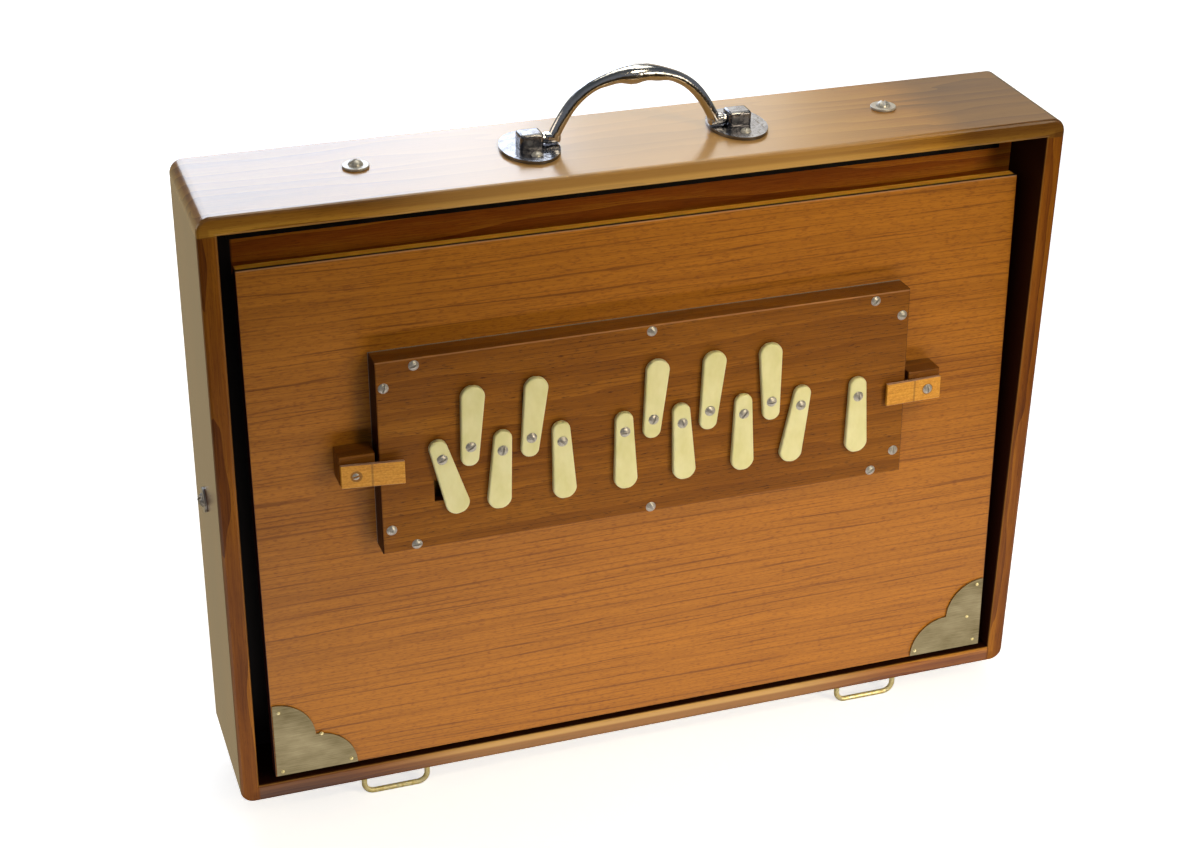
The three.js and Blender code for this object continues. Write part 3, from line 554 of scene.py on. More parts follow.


# Centre board, a stained softwood panel between the two bellows. Below its top and along its left margin
# it is
# coloured near black: painted shade for the dark gaps beside the front board. A strip of black
# leathercloth is glued along its upper front, to keep the bellows from leaking at the ceiling. The strip
# is also painted shade, for the shadow under the case's top.
# Planed softwood brushed with an orange stain and one thin coat of varnish, with broad rings. Its tones
# are set bright as painted light, for the gap under the case's top.
tree, shader, stained_wood = finish_of("stained softwood", roughness=0.5, specular_ior_level=0.15,
                                       coat_weight=0.1, coat_roughness=0.3)
STAINED = [(0.25, "#e09026"), (0.5, "#b86416"), (0.75, "#8c420a"), (0.95, "#542206")]
mm, places, colour, height = planed_wood(tree, 0, STAINED, 8, 22, 5.2, figure=0.25)
# Painted shade: near black along the left margin and below the top, for the dark side gaps.
SHADE_LEFT, SHADE_UP_TO = -185, 276
gap_shade = add(tree, "ShaderNodeMath", {
    0: past(tree, (places[0], SHADE_LEFT, SHADE_LEFT + 1.5, 1.0, 0.0)),
    1: past(tree, (places[2], SHADE_UP_TO - 1, SHADE_UP_TO, 1.0, 0.0)),
}, operation="MAXIMUM").outputs[0]
shade_below = add(tree, "ShaderNodeMix", {0: gap_shade, 6: colour, 7: "#0c0608"}, data_type="RGBA")
tree.links.new(shade_below.outputs[2], shader.inputs["Base Color"])
roughen(tree, shader, height, 0.06)
dress(stained_wood, "centre_board")

# Leathercloth: cotton with a black pyroxylin coat, pebbled 0.9 mm apart and glossy where it is rubbed.
PEBBLE = 0.9
tree, shader, leathercloth = finish_of("black leathercloth", specular_ior_level=0.2,
                                       coat_weight=0.1, coat_roughness=0.25)
mm = object_mm(tree)
pebble = add(tree, "ShaderNodeTexVoronoi", {"Vector": mm, "Scale": 1 / PEBBLE}, feature="SMOOTH_F1")
worn = streaks(tree, mm, (14, 14, 14), 3, 4)
tree.links.new(cover(tree, "#080709", "#181418", (worn, 0.45, 0.75)), shader.inputs["Base Color"])
tree.links.new(past(tree, (worn, 0.3, 0.8, 0.32, 0.6)), shader.inputs["Roughness"])
roughen(tree, shader, pebble.outputs["Distance"], 0.12, 0.8)

centre_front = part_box("centre_board")[0].y / MM
# Painted shade: this black strip stands for the shadow under the case's top as well as for cloth.
STRIP_LENGTH, STRIP_THICK, STRIP_FOOT, STRIP_TOP = 373, 0.7, 292.2, 307.6
open_box((STRIP_LENGTH, STRIP_THICK, STRIP_TOP - STRIP_FOOT),
         (0.5, centre_front - 0.45, (STRIP_TOP + STRIP_FOOT) / 2))
choose("EDGE", lambda middle, edge: spans(edge, 0) > 0.5)
bpy.ops.mesh.subdivide(number_cuts=90)
choose("EDGE", lambda middle, edge: spans(edge, 2) > 0.5)
bpy.ops.mesh.subdivide(number_cuts=6)
strip = close_edit(60)
for corner in strip.data.vertices:
    x, z = corner.co.x / MM, corner.co.z / MM
    rise = max(0, min(1, (z - STRIP_FOOT) / (STRIP_TOP - STRIP_FOOT)))
    swell = math.sin(x / 9) * math.sin(x / 23 + 1) * math.sin(rise * math.pi)
    corner.co.y -= (0.5 + 0.45 * swell) * MM * math.sin(rise * math.pi) ** 0.5
hand_over(strip, "cloth_and_shade_strip", leathercloth, "case", "black_cloth")


# Feet: four loops of bent brass wire pushed into the bottom board.
# Hard drawn brass, polished: pale yellow, with faint tarnish and die lines along the wire.
tree, shader, brass_wire = finish_of("drawn brass wire", metallic=0.4)
mm = object_mm(tree)
tarnish = streaks(tree, mm, (3, 3, 3), 3, 6)
tint(tree, shader, tarnish, [(0.3, "#dcc874"), (0.62, "#fff6c4")], (0.3, 0.75, 0.4, 0.24))
roughen(tree, shader, streaks(tree, mm, (6, 0.3, 0.3), 2, 1), 0.02, 0.5)


def wire(name, points, radii, sides=5):
    """A rod along points in mm with a radius at each, made a mesh with flat closed ends."""
    data = bpy.data.curves.new(name, "CURVE")
    data.dimensions = "3D"
    data.bevel_depth = MM
    data.bevel_resolution = sides
    data.use_fill_caps = True
    line = data.splines.new("POLY")
    line.points.add(len(points) - 1)
    for point, place, radius in zip(line.points, points, radii):
        point.co = (*(Vector(place) * MM), 1)
        point.radius = radius
    rod = bpy.data.objects.new(name, data)
    bpy.context.collection.objects.link(rod)
    select_only(rod)
    bpy.ops.object.convert(target="MESH")
    shade(rod, 40)
    return rod


def arc(centre, radius, start, end, steps):
    """Points of an arc in the XZ plane, in degrees from +X towards +Z."""
    angles = [math.radians(start + (end - start) * step / steps) for step in range(steps + 1)]
    return [(centre[0] + radius * math.cos(a), 0, centre[1] + radius * math.sin(a)) for a in angles]


FOOT_HALF, FOOT_TOP, FOOT_TURN, FOOT_ROD = 15.85, 17.8, 5, 1.4
loop = [(-FOOT_HALF, 0, FOOT_TOP),
        *arc((-FOOT_HALF + FOOT_TURN, FOOT_ROD + FOOT_TURN), FOOT_TURN, 180, 270, 10),
        *arc((FOOT_HALF - FOOT_TURN, FOOT_ROD + FOOT_TURN), FOOT_TURN, 270, 360, 10),
        (FOOT_HALF, 0, FOOT_TOP)]
for node in ("foot_front_left", "foot_front_right", "foot_back_left", "foot_back_right"):
    low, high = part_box(node)
    middle = (low + high) / 2 / MM
    points = [(middle.x + x, middle.y, z) for x, y, z in loop]
    foot = wire(node, points, [FOOT_ROD] * len(points))
    hand_over(foot, f"{node}_wire", brass_wire, "case", "foot_brass", node)


# Handle: a die cast bail with a thick crown, its square elbows pinned in sockets that stand on two
# shallow oval plates. All of it is chromium plated, and each plate has a round-head screw front and back.
def chromium(name, tone, speck, least, most):
    """Chromium plate over a die casting: softly uneven, with fine dark specks where it has worn."""
    tree, shader, material = finish_of(name, metallic=1.0)
    mm = object_mm(tree)
    cast = streaks(tree, mm, (5, 5, 5), 2, 3)
    specks = streaks(tree, mm, (0.6, 0.6, 0.6), 2, 9)
    tree.links.new(cover(tree, tone, speck, (specks, 0.62, 0.75, 0.0, 0.6)), shader.inputs["Base Color"])
    tree.links.new(past(tree, (cast, 0.35, 0.75, least, most)), shader.inputs["Roughness"])
    roughen(tree, shader, cast, 0.5, 0.5)
    return material


bail_chrome = chromium("chromium plate", "#c2c2c6", "#74747a", 0.1, 0.24)
# The plates are the bail's chromium, rougher and coloured darker as painted shade for their dim
# reflections.
dulled_and_shaded_chrome = chromium("dulled chromium plate", "#7a7a80", "#4e4c50", 0.16, 0.3)

HANDLE_X, HANDLE_Y = 2, CASE_MIDDLE_Y
PLATE_SPREAD, OVAL_HEIGHT = 49.7, 1.5
OVAL = (13.5, 19)
SOCKET = (11, 9, 7.6)
SOCKET_BORE = 2.85
AXIS_Z = case_top + SEAT_GAP + OVAL_HEIGHT + 2.9
for side, sign in (("left", -1), ("right", 1)):
    middle_x = HANDLE_X + sign * PLATE_SPREAD
    plate = begin(bpy.ops.mesh.primitive_cylinder_add, vertices=72, radius=1, depth=OVAL_HEIGHT * MM,
                  location=Vector((middle_x, HANDLE_Y, case_top + SEAT_GAP + OVAL_HEIGHT / 2)) * MM,
                  scale=(OVAL[0] * MM, OVAL[1] * MM, 1))
    choose("FACE", lambda middle, face: middle.z > 0.4 * MM)
    for shrink in (0.985, 0.93):
        bpy.ops.mesh.extrude_region_move(TRANSFORM_OT_translate={"value": (0, 0, 0)})
        bpy.ops.transform.resize(value=(shrink, shrink, 1))
    choose("EDGE", lambda middle, edge: middle.z > 0.4 * MM and math.hypot(middle.x, middle.y) > 0.99)
    bpy.ops.transform.translate(value=(0, 0, -OVAL_HEIGHT / 2 * MM))
    close_edit(50)
    open_box(SOCKET, (middle_x, HANDLE_Y, case_top + 4.6))
    choose("FACE", lambda middle, face: middle.z > 0.4)
    bpy.ops.transform.resize(value=(0.74, 0.66, 1))
    block = close_edit()
    ease(block, 1.3, 4, 30)
    join_or_cut(plate, block, "UNION")
    bore = begin(bpy.ops.mesh.primitive_cylinder_add, vertices=32, radius=SOCKET_BORE * MM, depth=14 * MM,
                 location=Vector((middle_x - sign * 5.2, HANDLE_Y, AXIS_Z)) * MM,
                 rotation=(0, math.pi / 2, 0))
    close_edit()
    join_or_cut(plate, bore, "DIFFERENCE")
    shade(plate, 35)
    hand_over(plate, f"handle_plate_{side}", dulled_and_shaded_chrome, "case", "handle_chrome", f"handle_base_{side}")

fixing = round_head(2.7, 2.0, 0.8, 0.7)
for side, sign in (("left", -1), ("right", 1)):
    for end, offset, turn in (("front", -11.5, 40), ("back", 11.5, 120)):
        place = (HANDLE_X + sign * PLATE_SPREAD, HANDLE_Y + offset, case_top + 1.3)
        head = copy_of(fixing, facing(place, (0, 0, 1), math.radians(turn + sign * 10)))
        hand_over(head, f"handle_screw_{side}_{end}", screw_nickel, "case", "screw_steel")
bpy.data.objects.remove(fixing)


def bezier(points, share):
    """The point at a share of a Bezier curve."""
    while len(points) > 1:
        points = [a.lerp(b, share) for a, b in zip(points, points[1:])]
    return points[0]


CROWN_HEIGHT, CROWN_HALF = 26, 19
ROD_RADIUS, ROD_SWELL, FOOT_FLARE = 2.65, 1.75, 0.1
ELBOW, ELBOW_X, ELBOW_ROUND = (8.0, 4.9, 4.9), 39.4, 1.45
PIN_RADIUS, PIN_LENGTH, PIN_X = 2.35, 11, 46.5
pulls = [Vector((37.64, 0, 2.18)), Vector((30.28, 0, 16.6)), Vector((22.6, 0, CROWN_HEIGHT)),
         Vector((0, 0, CROWN_HEIGHT))]
half_bail = [Vector((38.6, 0, 0.2))] + [bezier(pulls, step / 24) for step in range(25)]
whole_bail = half_bail + [Vector((-point.x, 0, point.z)) for point in reversed(half_bail[:-1])]
thickness = []
for point in whole_bail:
    swell = (1 + math.cos(min(abs(point.x) / CROWN_HALF, 1) * math.pi)) / 2
    flare = max(0, 1 - point.z / 9) * FOOT_FLARE
    thickness.append(ROD_RADIUS + flare + ROD_SWELL * swell)
origin = Vector((HANDLE_X, HANDLE_Y, AXIS_Z))
bail = wire("bail", [origin + point for point in whole_bail], thickness, 10)
# Finger grips are cast in the underside of the crown.
for corner in bail.data.vertices:
    place = corner.co / MM - origin
    if place.z > 20 and abs(place.x) < CROWN_HALF:
        under = max(0, min(1, (CROWN_HEIGHT - place.z) / 3))
        grips = 0.55 * math.cos(place.x / 2.1 + 0.8) * math.cos(place.x / CROWN_HALF * math.pi / 2)
        corner.co.z -= under * grips * MM
for sign in (-1, 1):
    open_box(ELBOW, origin + Vector((sign * ELBOW_X, 0, 0)))
    elbow = close_edit()
    ease(elbow, ELBOW_ROUND, 4, 30)
    pin = begin(bpy.ops.mesh.primitive_cylinder_add, vertices=32, radius=PIN_RADIUS * MM,
                depth=PIN_LENGTH * MM, location=(origin + Vector((sign * PIN_X, 0, 0))) * MM,
                rotation=(0, math.pi / 2, 0))
    close_edit()
    for part in (elbow, pin):
        join_or_cut(bail, part, "UNION")
shade(bail, 35)
hand_over(bail, "bail", bail_chrome, "bail", "handle_chrome", "handle_bail")


# Front board: 6 mm birch-faced plywood that leans on a cloth hinge, faced with a thin teak-pattern
# laminate. The plies show along its top edge and the laminate's edge is a black line.
def board_place(tree, mm, direction, origin):
    """How far a point lies along a direction, in mm."""
    along = add(tree, "ShaderNodeVectorMath", {0: mm, 1: list(direction)}, operation="DOT_PRODUCT")
    return sum_of(tree, (along.outputs["Value"], 1.0), (1.0, -Vector(origin).dot(direction)))


def from_sides(tree, mm):
    """Distance in mm across from the front board's middle line."""
    across = add(tree, "ShaderNodeSeparateXYZ", {0: mm}).outputs[0]
    return off(tree, across, BOARD_SHIFT)


# Birch veneers glued crosswise and sawn, striped every 2.4 mm. The bare edges are set brighter than the
# wood as painted light for the top edge under the case's top, and dark at the sides as painted shade in
# the side gaps.
PLY = 2.4
tree, shader, plywood = finish_of("birch plywood", roughness=0.55)
mm = object_mm(tree)
behind = board_place(tree, mm, OUT, BOARD_FOOT)
plies = bands(tree, behind, PLY)
fibre = streaks(tree, mm, (9, 0.5, 0.5), 3, 2)
tone = sum_of(tree, (plies, 0.2), (fibre, 0.6), (1.0, 0.15))
# Painted light: the edge tones are brighter than bare birch.
colour = add(tree, "ShaderNodeValToRGB", {"Fac": tone}, [
    (0.2, "#e08c18"), (0.45, "#ffb42a"), (0.85, "#ffd064"),
]).outputs["Color"]
# Painted shade: the edges are dark at the sides, in the gaps beside the case's walls.
sides = (from_sides(tree, mm), BOARD_HALF - 0.9, BOARD_HALF - 0.2)
colour = cover(tree, colour, "#4a1408", sides)
glue = (behind, -2.2, -2.05)
tree.links.new(cover(tree, colour, "#120a06", glue), shader.inputs["Base Color"])
roughen(tree, shader, tone, 0.12)
dress(plywood, "front_board")


def teak_pattern(name, seed, black_edge):
    """Printed laminate pressed with a satin plate: a golden brown ground, thin straight dark lines and
    short fibre specks. Its sawn edge is black below, with a pale line along the top arris that is worn
    and painted highlight."""
    tree, shader, material = finish_of(name, roughness=0.34, specular_ior_level=0.45)
    mm = object_mm(tree)
    broad = streaks(tree, mm, (520, 30, 16), 3, seed + 1)
    stripes = streaks(tree, mm, (240, 30, 4), 2, seed + 5)
    fine = streaks(tree, mm, (26, 30, 0.6), 2, seed + 9)
    tone = sum_of(tree, (broad, 0.4), (stripes, 0.3), (fine, 0.4), (1.0, -0.05))
    colour = add(tree, "ShaderNodeValToRGB", {"Fac": tone}, [
        (0.25, "#ba771c"), (0.48, "#a96b18"), (0.66, "#935a10"), (0.85, "#72420a"),
    ]).outputs["Color"]
    for spacing, share, shift in ((3.1, 0.5, 14), (5.3, 0.6, 31), (1.9, 0.35, 45)):
        colour = grain_lines(tree, mm, colour, spacing, share, "#582a08", seed + shift)
    specks = streaks(tree, mm, (3.2, 30, 0.5), 1, seed + 23)
    colour = cover(tree, colour, "#683410", (specks, 0.52, 0.68, 0.0, 0.45))
    if black_edge:
        front_of = board_place(tree, mm, OUT, BOARD_FOOT)
        colour = cover(tree, colour, "#120806", (front_of, -0.25, -0.12, 1.0, 0.0))
        height_of = board_place(tree, mm, UP, BOARD_FOOT)
        # Worn arris and painted highlight: a pale line along the top front arris.
        at_top = (height_of, BOARD_HEIGHT - 0.7, BOARD_HEIGHT - 0.3)
        at_face = (front_of, -0.14, -0.04, 0.0, 0.5)
        colour = cover(tree, colour, "#c0a080", at_top, at_face)
        sides = (from_sides(tree, mm), BOARD_HALF - 0.3, BOARD_HALF - 0.1)
        colour = cover(tree, colour, "#401408", sides)
    tree.links.new(colour, shader.inputs["Base Color"])
    roughen(tree, shader, fine, 0.03, 0.6)
    return material


dress(teak_pattern("teak pattern laminate", 0, True), "front_laminate")
dress(teak_pattern("teak pattern laminate, back", 20, False), "back_board")


# Reed box: a grey felt gasket, a wooden rim, and the board that the levers slide on, all screwed to
# the front board. The reeds stand on two brass strips behind it.
# Pressed wool felt: no gloss at all, and a soft mottled nap.
tree, shader, felt = finish_of("grey felt", roughness=0.95, sheen_weight=0.4)
mm = object_mm(tree)
nap = streaks(tree, mm, (0.8, 0.8, 0.8), 4, 3)
tint(tree, shader, nap, [(0.3, "#5c574f"), (0.7, "#948d82")])
roughen(tree, shader, nap, 0.25)
dress(felt, "reed_gasket")

# Planed teak, oiled but not varnished: low gloss and open pores. Its ends are dark, as end grain and
# painted shade, and its top arris has a pale line that is worn and painted highlight.
tree, shader, reed_wood = finish_of("oiled teak", roughness=0.45, specular_ior_level=0.2)
REED_TONES = [(0.2, "#a26a1c"), (0.5, "#7f4d10"), (0.8, "#603408"), (0.98, "#341604")]
mm, places, colour, height = planed_wood(tree, 0, REED_TONES, 11, 30, 12.3, 0.75, 0.16)
colour = grain_lines(tree, mm, colour, 2.3, 0.5, "#341604", 3)
aside = off(tree, places[0])
REED_HALF = 130.2
# End grain and painted shade: the board's ends are darker.
end_grain_and_shade = [(aside, REED_HALF - 0.7, REED_HALF - 0.1),
             (aside, REED_HALF + 0.1, REED_HALF + 0.4, 1.0, 0.0)]
corners = nodes["reed_board"].data.vertices
reed_top = max(corner.co.dot(UP) for corner in corners) / MM - BOARD_FOOT.dot(UP)
# Worn arris and painted highlight: a pale line along the top front arris.
near_top = (board_place(tree, mm, UP, BOARD_FOOT), reed_top - 0.9, reed_top - 0.5)
near_face = (board_place(tree, mm, OUT, BOARD_FOOT), REED_FACE - 0.6, REED_FACE - 0.2, 0.0, 0.5)
colour = cover(tree, colour, "#c08c5c", near_top, near_face)
tree.links.new(cover(tree, colour, "#301006", *end_grain_and_shade), shader.inputs["Base Color"])
roughen(tree, shader, height, 0.08)
dress(reed_wood, "reed_board", "reed_box_rim", "clip_block_left", "clip_block_right")

# Rolled brass behind the board: dark yellow with upright roll marks, darkened as painted shade for the
# dark seen through the sound holes.
tree, shader, reed_brass = finish_of("rolled brass", metallic=1.0)
mm = object_mm(tree)
rolled = streaks(tree, mm, (0.2, 0.2, 12), 2, 1)
tint(tree, shader, rolled, [(0.3, "#5c461c"), (0.7, "#846a34")], (0.3, 0.7, 0.28, 0.45))
dress(reed_brass, "reed_row_upper", "reed_row_lower")


# Levers: thirteen tongues of ivory coloured plastic, 3 mm thick, that turn on their screws. Each is
# wider over its sound hole and all its edges are filed round.
# Cast plastic, filed and buffed by hand: waxy, slightly see-through, with clouds and upright scratches.
tree, shader, ivory = finish_of("cast ivory plastic", roughness=0.38, subsurface_weight=0.12,
                                subsurface_radius=(0.004, 0.003, 0.0015), coat_weight=0.15)
mm = object_mm(tree)
clouds = streaks(tree, mm, (9, 9, 16), 3, 8)
scratches = streaks(tree, mm, (0.35, 0.6, 7), 2, 5)
tint(tree, shader, clouds, [(0.3, "#d6d498"), (0.7, "#e4e2b2")])
roughen(tree, shader, scratches, 0.03, 0.5)

LEVER_LENGTH, NARROW, WIDE, PIVOT_FROM_TIP = 39.5, 8.2, 11.8, 9.7
NARROW_ROUND, WIDE_ROUND = 3.8, 5.0
BOW_FROM, BOW = 12, 1.0
open_box((WIDE, LEVER_LENGTH, LEVER_THICK), (0, 0, LEVER_THICK / 2))
choose("VERT", lambda middle, corner: middle.y < 0)
bpy.ops.transform.resize(value=(NARROW / WIDE, 1, 1), center_override=(0, 0, 0))
bpy.ops.object.mode_set(mode="OBJECT")
bpy.ops.object.transform_apply(location=True, rotation=True, scale=True)
bpy.ops.object.mode_set(mode="EDIT")
for end, offset, segments in ((1, WIDE_ROUND, 16), (-1, NARROW_ROUND, 10)):
    choose("EDGE", lambda middle, edge: spans(edge, 2) > 2 * MM and middle.y * end > 15 * MM)
    bpy.ops.mesh.bevel(offset=offset * MM, segments=segments, profile=0.5)
lever = close_edit()
# The wide end is cut to a flat bow between its round corners.
for corner in lever.data.vertices:
    rise = max(0, corner.co.y / MM - BOW_FROM) / (LEVER_LENGTH / 2 - BOW_FROM)
    corner.co.y -= BOW * MM * rise * (corner.co.x / MM / (WIDE / 2)) ** 2
ease(lever, 0.85, 4, 60)
shade(lever, 45)
lever.data.transform(Matrix.Translation((0, (LEVER_LENGTH / 2 - PIVOT_FROM_TIP) * MM, 0)))
for note, up in PIVOT_UP.items():
    node = f"lever_{note}"
    pivot = over_node(f"lever_screw_{note}", up, REED_FACE + LEVER_LIFT)
    corners = nodes[node].data.vertices
    aim = sum((corner.co for corner in corners), Vector()) / len(corners) / MM - pivot
    tongue = copy_of(lever, facing(pivot, OUT, math.atan2(-aim.x, aim.dot(UP))))
    hand_over(tongue, f"{node}_tongue", ivory, f"key_{note}", "lever_ivory", node)
bpy.data.objects.remove(lever)


# Leather tabs, each screwed to a wooden block and turned over the reed board's end to hold the front
# board shut for travel. The left one's free end has curled with use.
# Vegetable tanned hide, waxed: golden, with fine grain drawn out along it, a crease where it leaves its
# block with a dark line of painted shade along it, a grey cut edge and a ring of painted shadow round
# each screw head.
TAB_LENGTH, TAB_WIDTH, CREASE_AT = 28.7, 11.4, 134.2
tree, shader, tab_leather = finish_of("vegetable tanned leather", roughness=0.5, coat_weight=0.2,
                                      coat_roughness=0.35)
mm = object_mm(tree)
places = add(tree, "ShaderNodeSeparateXYZ", {0: mm}).outputs
hide = streaks(tree, mm, (1.1, 1.1, 0.8), 4, 2)
drawn = streaks(tree, mm, (16, 3, 0.45), 2, 7)
tone = sum_of(tree, (hide, 0.5), (drawn, 0.5))
HIDE = [(0.32, "#a86a10"), (0.5, "#cc8e24"), (0.68, "#dea83e")]
colour = add(tree, "ShaderNodeValToRGB", {"Fac": tone}, HIDE).outputs["Color"]
aside = off(tree, places[0])
# Painted shade: a dark line along the crease.
crease_and_shade = (off(tree, aside, CREASE_AT), 0.1, 0.8, 0.45, 0.0)
colour = cover(tree, colour, "#4a2408", crease_and_shade)
screw_gaps = []
for side in ("left", "right"):
    seat = over_node(f"clip_screw_{side}", TAB_UP, REED_FACE + SEAT_GAP + TAB_THICK)
    gap = add(tree, "ShaderNodeVectorMath", {0: mm, 1: list(seat)}, operation="DISTANCE")
    screw_gaps.append(gap.outputs["Value"])
nearest = add(tree, "ShaderNodeMath", dict(enumerate(screw_gaps)), operation="MINIMUM").outputs[0]
# Painted shadow: a dark ring round each clip screw head.
colour = cover(tree, colour, "#4a2408", (nearest, 2.65, 3.1, 0.6, 0.0))
from_middle = off(tree, board_place(tree, mm, UP, BOARD_FOOT + UP * TAB_UP))
cut_edge = (from_middle, TAB_WIDTH / 2 - 0.25, TAB_WIDTH / 2 - 0.1, 0.0, 0.8)
tree.links.new(cover(tree, colour, "#b89484", cut_edge), shader.inputs["Base Color"])
roughen(tree, shader, sum_of(tree, (hide, 0.7), (past(tree, crease_and_shade), -0.6)), 0.15)

CURL_FROM, CREASE_FROM = 15, 14.0
for side, sign, curl in (("left", -1, 1.0), ("right", 1, 0.25)):
    open_box((TAB_LENGTH, TAB_WIDTH, TAB_THICK), (0, 0, TAB_THICK / 2))
    choose("EDGE", lambda middle, edge: spans(edge, 0) > 0.5)
    bpy.ops.mesh.subdivide(number_cuts=40)
    tab = close_edit(40)
    for corner in tab.data.vertices:
        along = TAB_LENGTH / 2 - sign * corner.co.x / MM
        lift = curl * 0.0375 * max(0, along - CURL_FROM) ** 1.75
        dip = -0.12 * math.exp(-((along - CREASE_FROM) / 0.8) ** 2)
        corner.co.z += (lift + dip) * MM
    ease(tab, 0.35, 3, 50)
    shade(tab, 40)
    tab.data.transform(facing(over_node(f"clip_{side}", TAB_UP, REED_FACE + SEAT_GAP), OUT))
    hand_over(tab, f"clip_tab_{side}", tab_leather, f"tab_{side}", "clip_leather", f"clip_{side}")


# Corner plates: satin sheet metal cut in two lobes and pinned over the board's lower corners. The pins
# are cut from the feet's brass wire.
# Nickel silver sheet brushed level: greyish yellow, low gloss, with smears of old polish.
tree, shader, plate_metal = finish_of("brushed nickel silver", metallic=1.0)
mm = object_mm(tree)
brushed = streaks(tree, mm, (14, 3, 0.28), 3, 4)
smears = streaks(tree, mm, (22, 22, 12), 3, 11)
tone = sum_of(tree, (brushed, 0.45), (smears, 0.55))
tint(tree, shader, tone, [(0.32, "#7c7252"), (0.64, "#b2a888")], (0.3, 0.7, 0.55, 0.4))
roughen(tree, shader, brushed, 0.02, 0.8)

PLATE_LEG, LOBE, PLATE_THICK, PLATE_INSET = 39.5, 20, 0.8, 0.6
for side, sign in (("left", 1), ("right", -1)):
    shapes = []
    for x, y in ((PLATE_LEG - LOBE, 0), (0, PLATE_LEG - LOBE)):
        begin(bpy.ops.mesh.primitive_cylinder_add, vertices=96, radius=LOBE * MM,
              depth=PLATE_THICK * MM, location=Vector((sign * x, y, PLATE_THICK / 2)) * MM)
        shapes.append(close_edit())
    plate, other = shapes
    join_or_cut(plate, other, "UNION")
    select_only(plate)
    bpy.ops.object.mode_set(mode="EDIT")
    bpy.ops.mesh.select_all(action="SELECT")
    bpy.ops.mesh.bisect(plane_co=(0, 0, 0), plane_no=(sign, 0, 0), use_fill=True, clear_inner=True)
    bpy.ops.mesh.select_all(action="SELECT")
    bpy.ops.mesh.bisect(plane_co=(0, 0, 0), plane_no=(0, 1, 0), use_fill=True, clear_inner=True)
    close_edit()
    ease(plate, 0.35, 3, 40)
    shade(plate, 35)
    corner_x = BOARD_SHIFT - sign * (BOARD_HALF - PLATE_INSET)
    plate.data.transform(facing(on_board(corner_x, PLATE_INSET, SEAT_GAP), OUT))
    hand_over(plate, f"lobed_plate_{side}", plate_metal, "front", "plate_metal", f"corner_plate_{side}")

pin = begin(bpy.ops.mesh.primitive_uv_sphere_add, segments=20, ring_count=12, radius=1.05 * MM)
bpy.ops.mesh.bisect(plane_co=(0, 0, 0.3 * MM), plane_no=(0, 0, 1), use_fill=True, clear_inner=True)
pin = close_edit()
for count, (x, up) in enumerate((
    (-182.4, 36), (-162.5, 20.3), (-182.4, 2.8), (-148.8, 2.9),
    (185.4, 37.1), (180.8, 18.6), (185.1, 4), (151.7, 3.3),
)):
    spot = facing(on_board(x, up, SEAT_GAP + PLATE_THICK - 0.45), OUT)
    hand_over(copy_of(pin, spot), f"plate_pin_{count + 1}", brass_wire, "front", "reed_brass")
bpy.data.objects.remove(pin)


# Valve flaps: soft sheepskin glued along its top edge, which falls shut over two holes. One is on the
# front of the centre board, the other inside the back board.
# Alum tawed sheepskin, flesh side out: pale buff suede without any gloss.
tree, shader, sheepskin = finish_of("sheepskin", roughness=0.85, sheen_weight=0.3)
mm = object_mm(tree)
suede = streaks(tree, mm, (1.6, 1.6, 1.6), 4, 3)
tint(tree, shader, suede, [(0.3, "#96805c"), (0.7, "#c4ae88")])
roughen(tree, shader, suede, 0.3)

FLAP_WIDTH, FLAP_HEIGHT, FLAP_THICK = 130, 52, 2
TRANSFER_UP, INTAKE_UP = 80, 173
BACK_FOOT = Vector((0, 16.8102, 25.3664))
transfer_place = (0, centre_front - SEAT_GAP, TRANSFER_UP)
intake_place = BACK_FOOT + UP * INTAKE_UP + OUT * SEAT_GAP
for node, body, carrier, place, outward in (
    ("transfer_flap", "transfer_valve", "centre_board", transfer_place, (0, -1, 0)),
    ("intake_flap", "intake_valve", "back_board", intake_place, OUT),
):
    open_box((FLAP_WIDTH, FLAP_HEIGHT, FLAP_THICK), (0, 0, FLAP_THICK / 2))
    flap = close_edit()
    ease(flap, 0.5, 3, 50)
    flap.data.transform(facing(place, outward))
    hand_over(flap, f"{node}_skin", sheepskin, body, "flap_leather", node)


# Bellows: cloth folded in three pleats round all four sides of each board, glued at both ends. They
# close to nothing where the board is hinged and open widest at its free edge.
CLOTH_THICK, CLOTH_INSET, FOLD, GLUED_INSET = 0.5, 5, 18, 12
PLEATS = (CLOTH_INSET, CLOTH_INSET + FOLD, CLOTH_INSET, CLOTH_INSET + FOLD, CLOTH_INSET)
RING_INSETS = (GLUED_INSET, *PLEATS, GLUED_INSET)


def pleated_ring(middle_x, near, far):
    """A folded ring between two planes; near and far give a point in mm for (x, up)."""
    width, height = 2 * (BOARD_HALF - RING_INSETS[0]), BOARD_HEIGHT - 2 * RING_INSETS[0]
    centre_up = BOARD_HEIGHT / 2
    ring = begin(bpy.ops.mesh.primitive_plane_add, size=1)
    bpy.ops.transform.resize(value=(width * MM, height * MM, 1))
    bpy.ops.mesh.delete(type="ONLY_FACE")
    bpy.ops.mesh.select_all(action="SELECT")
    before, step = RING_INSETS[0], 1 / (len(RING_INSETS) - 1)
    for inset in RING_INSETS[1:]:
        bpy.ops.mesh.extrude_edges_move(TRANSFORM_OT_translate={"value": (0, 0, step)})
        bpy.ops.transform.resize(value=((BOARD_HALF - inset) / (BOARD_HALF - before),
                                        (BOARD_HEIGHT - 2 * inset) / (BOARD_HEIGHT - 2 * before), 1))
        before = inset
    ring = close_edit(60)
    for corner in ring.data.vertices:
        x, up, share = middle_x + corner.co.x / MM, centre_up + corner.co.y / MM, corner.co.z
        corner.co = near(x, up).lerp(far(x, up), share) * MM
    ease(ring, 0.5, 2, 40)
    change(ring, "SOLIDIFY", thickness=CLOTH_THICK * MM, offset=0)
    shade(ring, 50)
    return ring


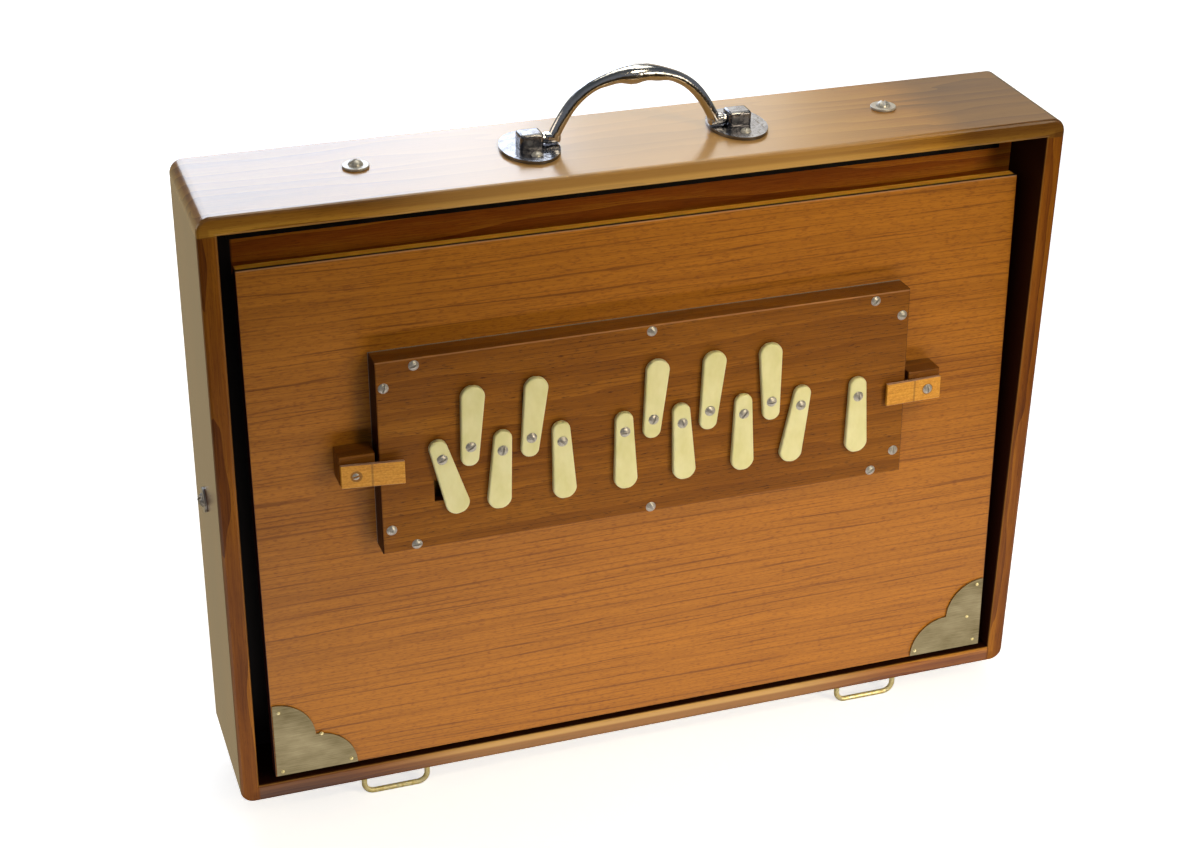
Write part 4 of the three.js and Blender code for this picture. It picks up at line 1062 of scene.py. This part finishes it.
GLUE_GAP, BOARD_THICK = 0.3, 7
centre_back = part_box("centre_board")[1].y / MM


def front_far(x, up):
    return on_board(x, up, -BOARD_THICK - GLUE_GAP)


def front_near(x, up):
    return Vector((x, centre_front - GLUE_GAP, front_far(x, up).z))


def back_far(x, up):
    return BACK_FOOT + Vector((x, 0, 0)) + UP * up + OUT * GLUE_GAP


def back_near(x, up):
    return Vector((x, centre_back + GLUE_GAP, (BACK_FOOT + UP * up).z))


front_ring = pleated_ring(BOARD_SHIFT, front_near, front_far)
hand_over(front_ring, "front_bellows_cloth", leathercloth, None, "black_cloth", "front_bellows")
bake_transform(front_ring)
back_ring = pleated_ring(0, back_near, back_far)
hand_over(back_ring, "back_bellows_cloth", leathercloth, None, "black_cloth", "back_bellows")
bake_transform(back_ring)


# Springs: two coils of steel wire inside the front bellows that draw the front board shut. They are
# hooked to the centre board and to the front board's back.
SPRING_TURNS, TURN_STEPS, COIL_RADIUS, WIRE_RADIUS, HOOK = 9, 16, 3.4, 0.55, 0.6
# Wire coiled hard and blued in oil: dark grey, glossy in patches where the oil has dried.
tree, shader, spring_steel = finish_of("oil tempered spring wire", metallic=1.0)
mm = object_mm(tree)
oiled = streaks(tree, mm, (1.2, 1.2, 1.2), 3, 6)
tint(tree, shader, oiled, [(0.3, "#4c4a48"), (0.7, "#8c8a88")], (0.3, 0.7, 0.25, 0.45))
for side in ("left", "right"):
    node = f"reservoir_spring_{side}"
    low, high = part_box(node)
    middle = (low + high) / 2 / MM
    length = (high.y - low.y) / MM - 2 * HOOK
    coil = []
    for step in range(SPRING_TURNS * TURN_STEPS + 1):
        angle = 2 * math.pi * step / TURN_STEPS
        along = low.y / MM + HOOK + length * step / (SPRING_TURNS * TURN_STEPS)
        across, up = COIL_RADIUS * math.cos(angle), COIL_RADIUS * math.sin(angle)
        coil.append((middle.x + across, along, middle.z + up))
    spring = wire(node, coil, [WIRE_RADIUS] * len(coil), 2)
    hand_over(spring, f"{node}_coil", spring_steel, None, "screw_steel", node)
    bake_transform(spring)
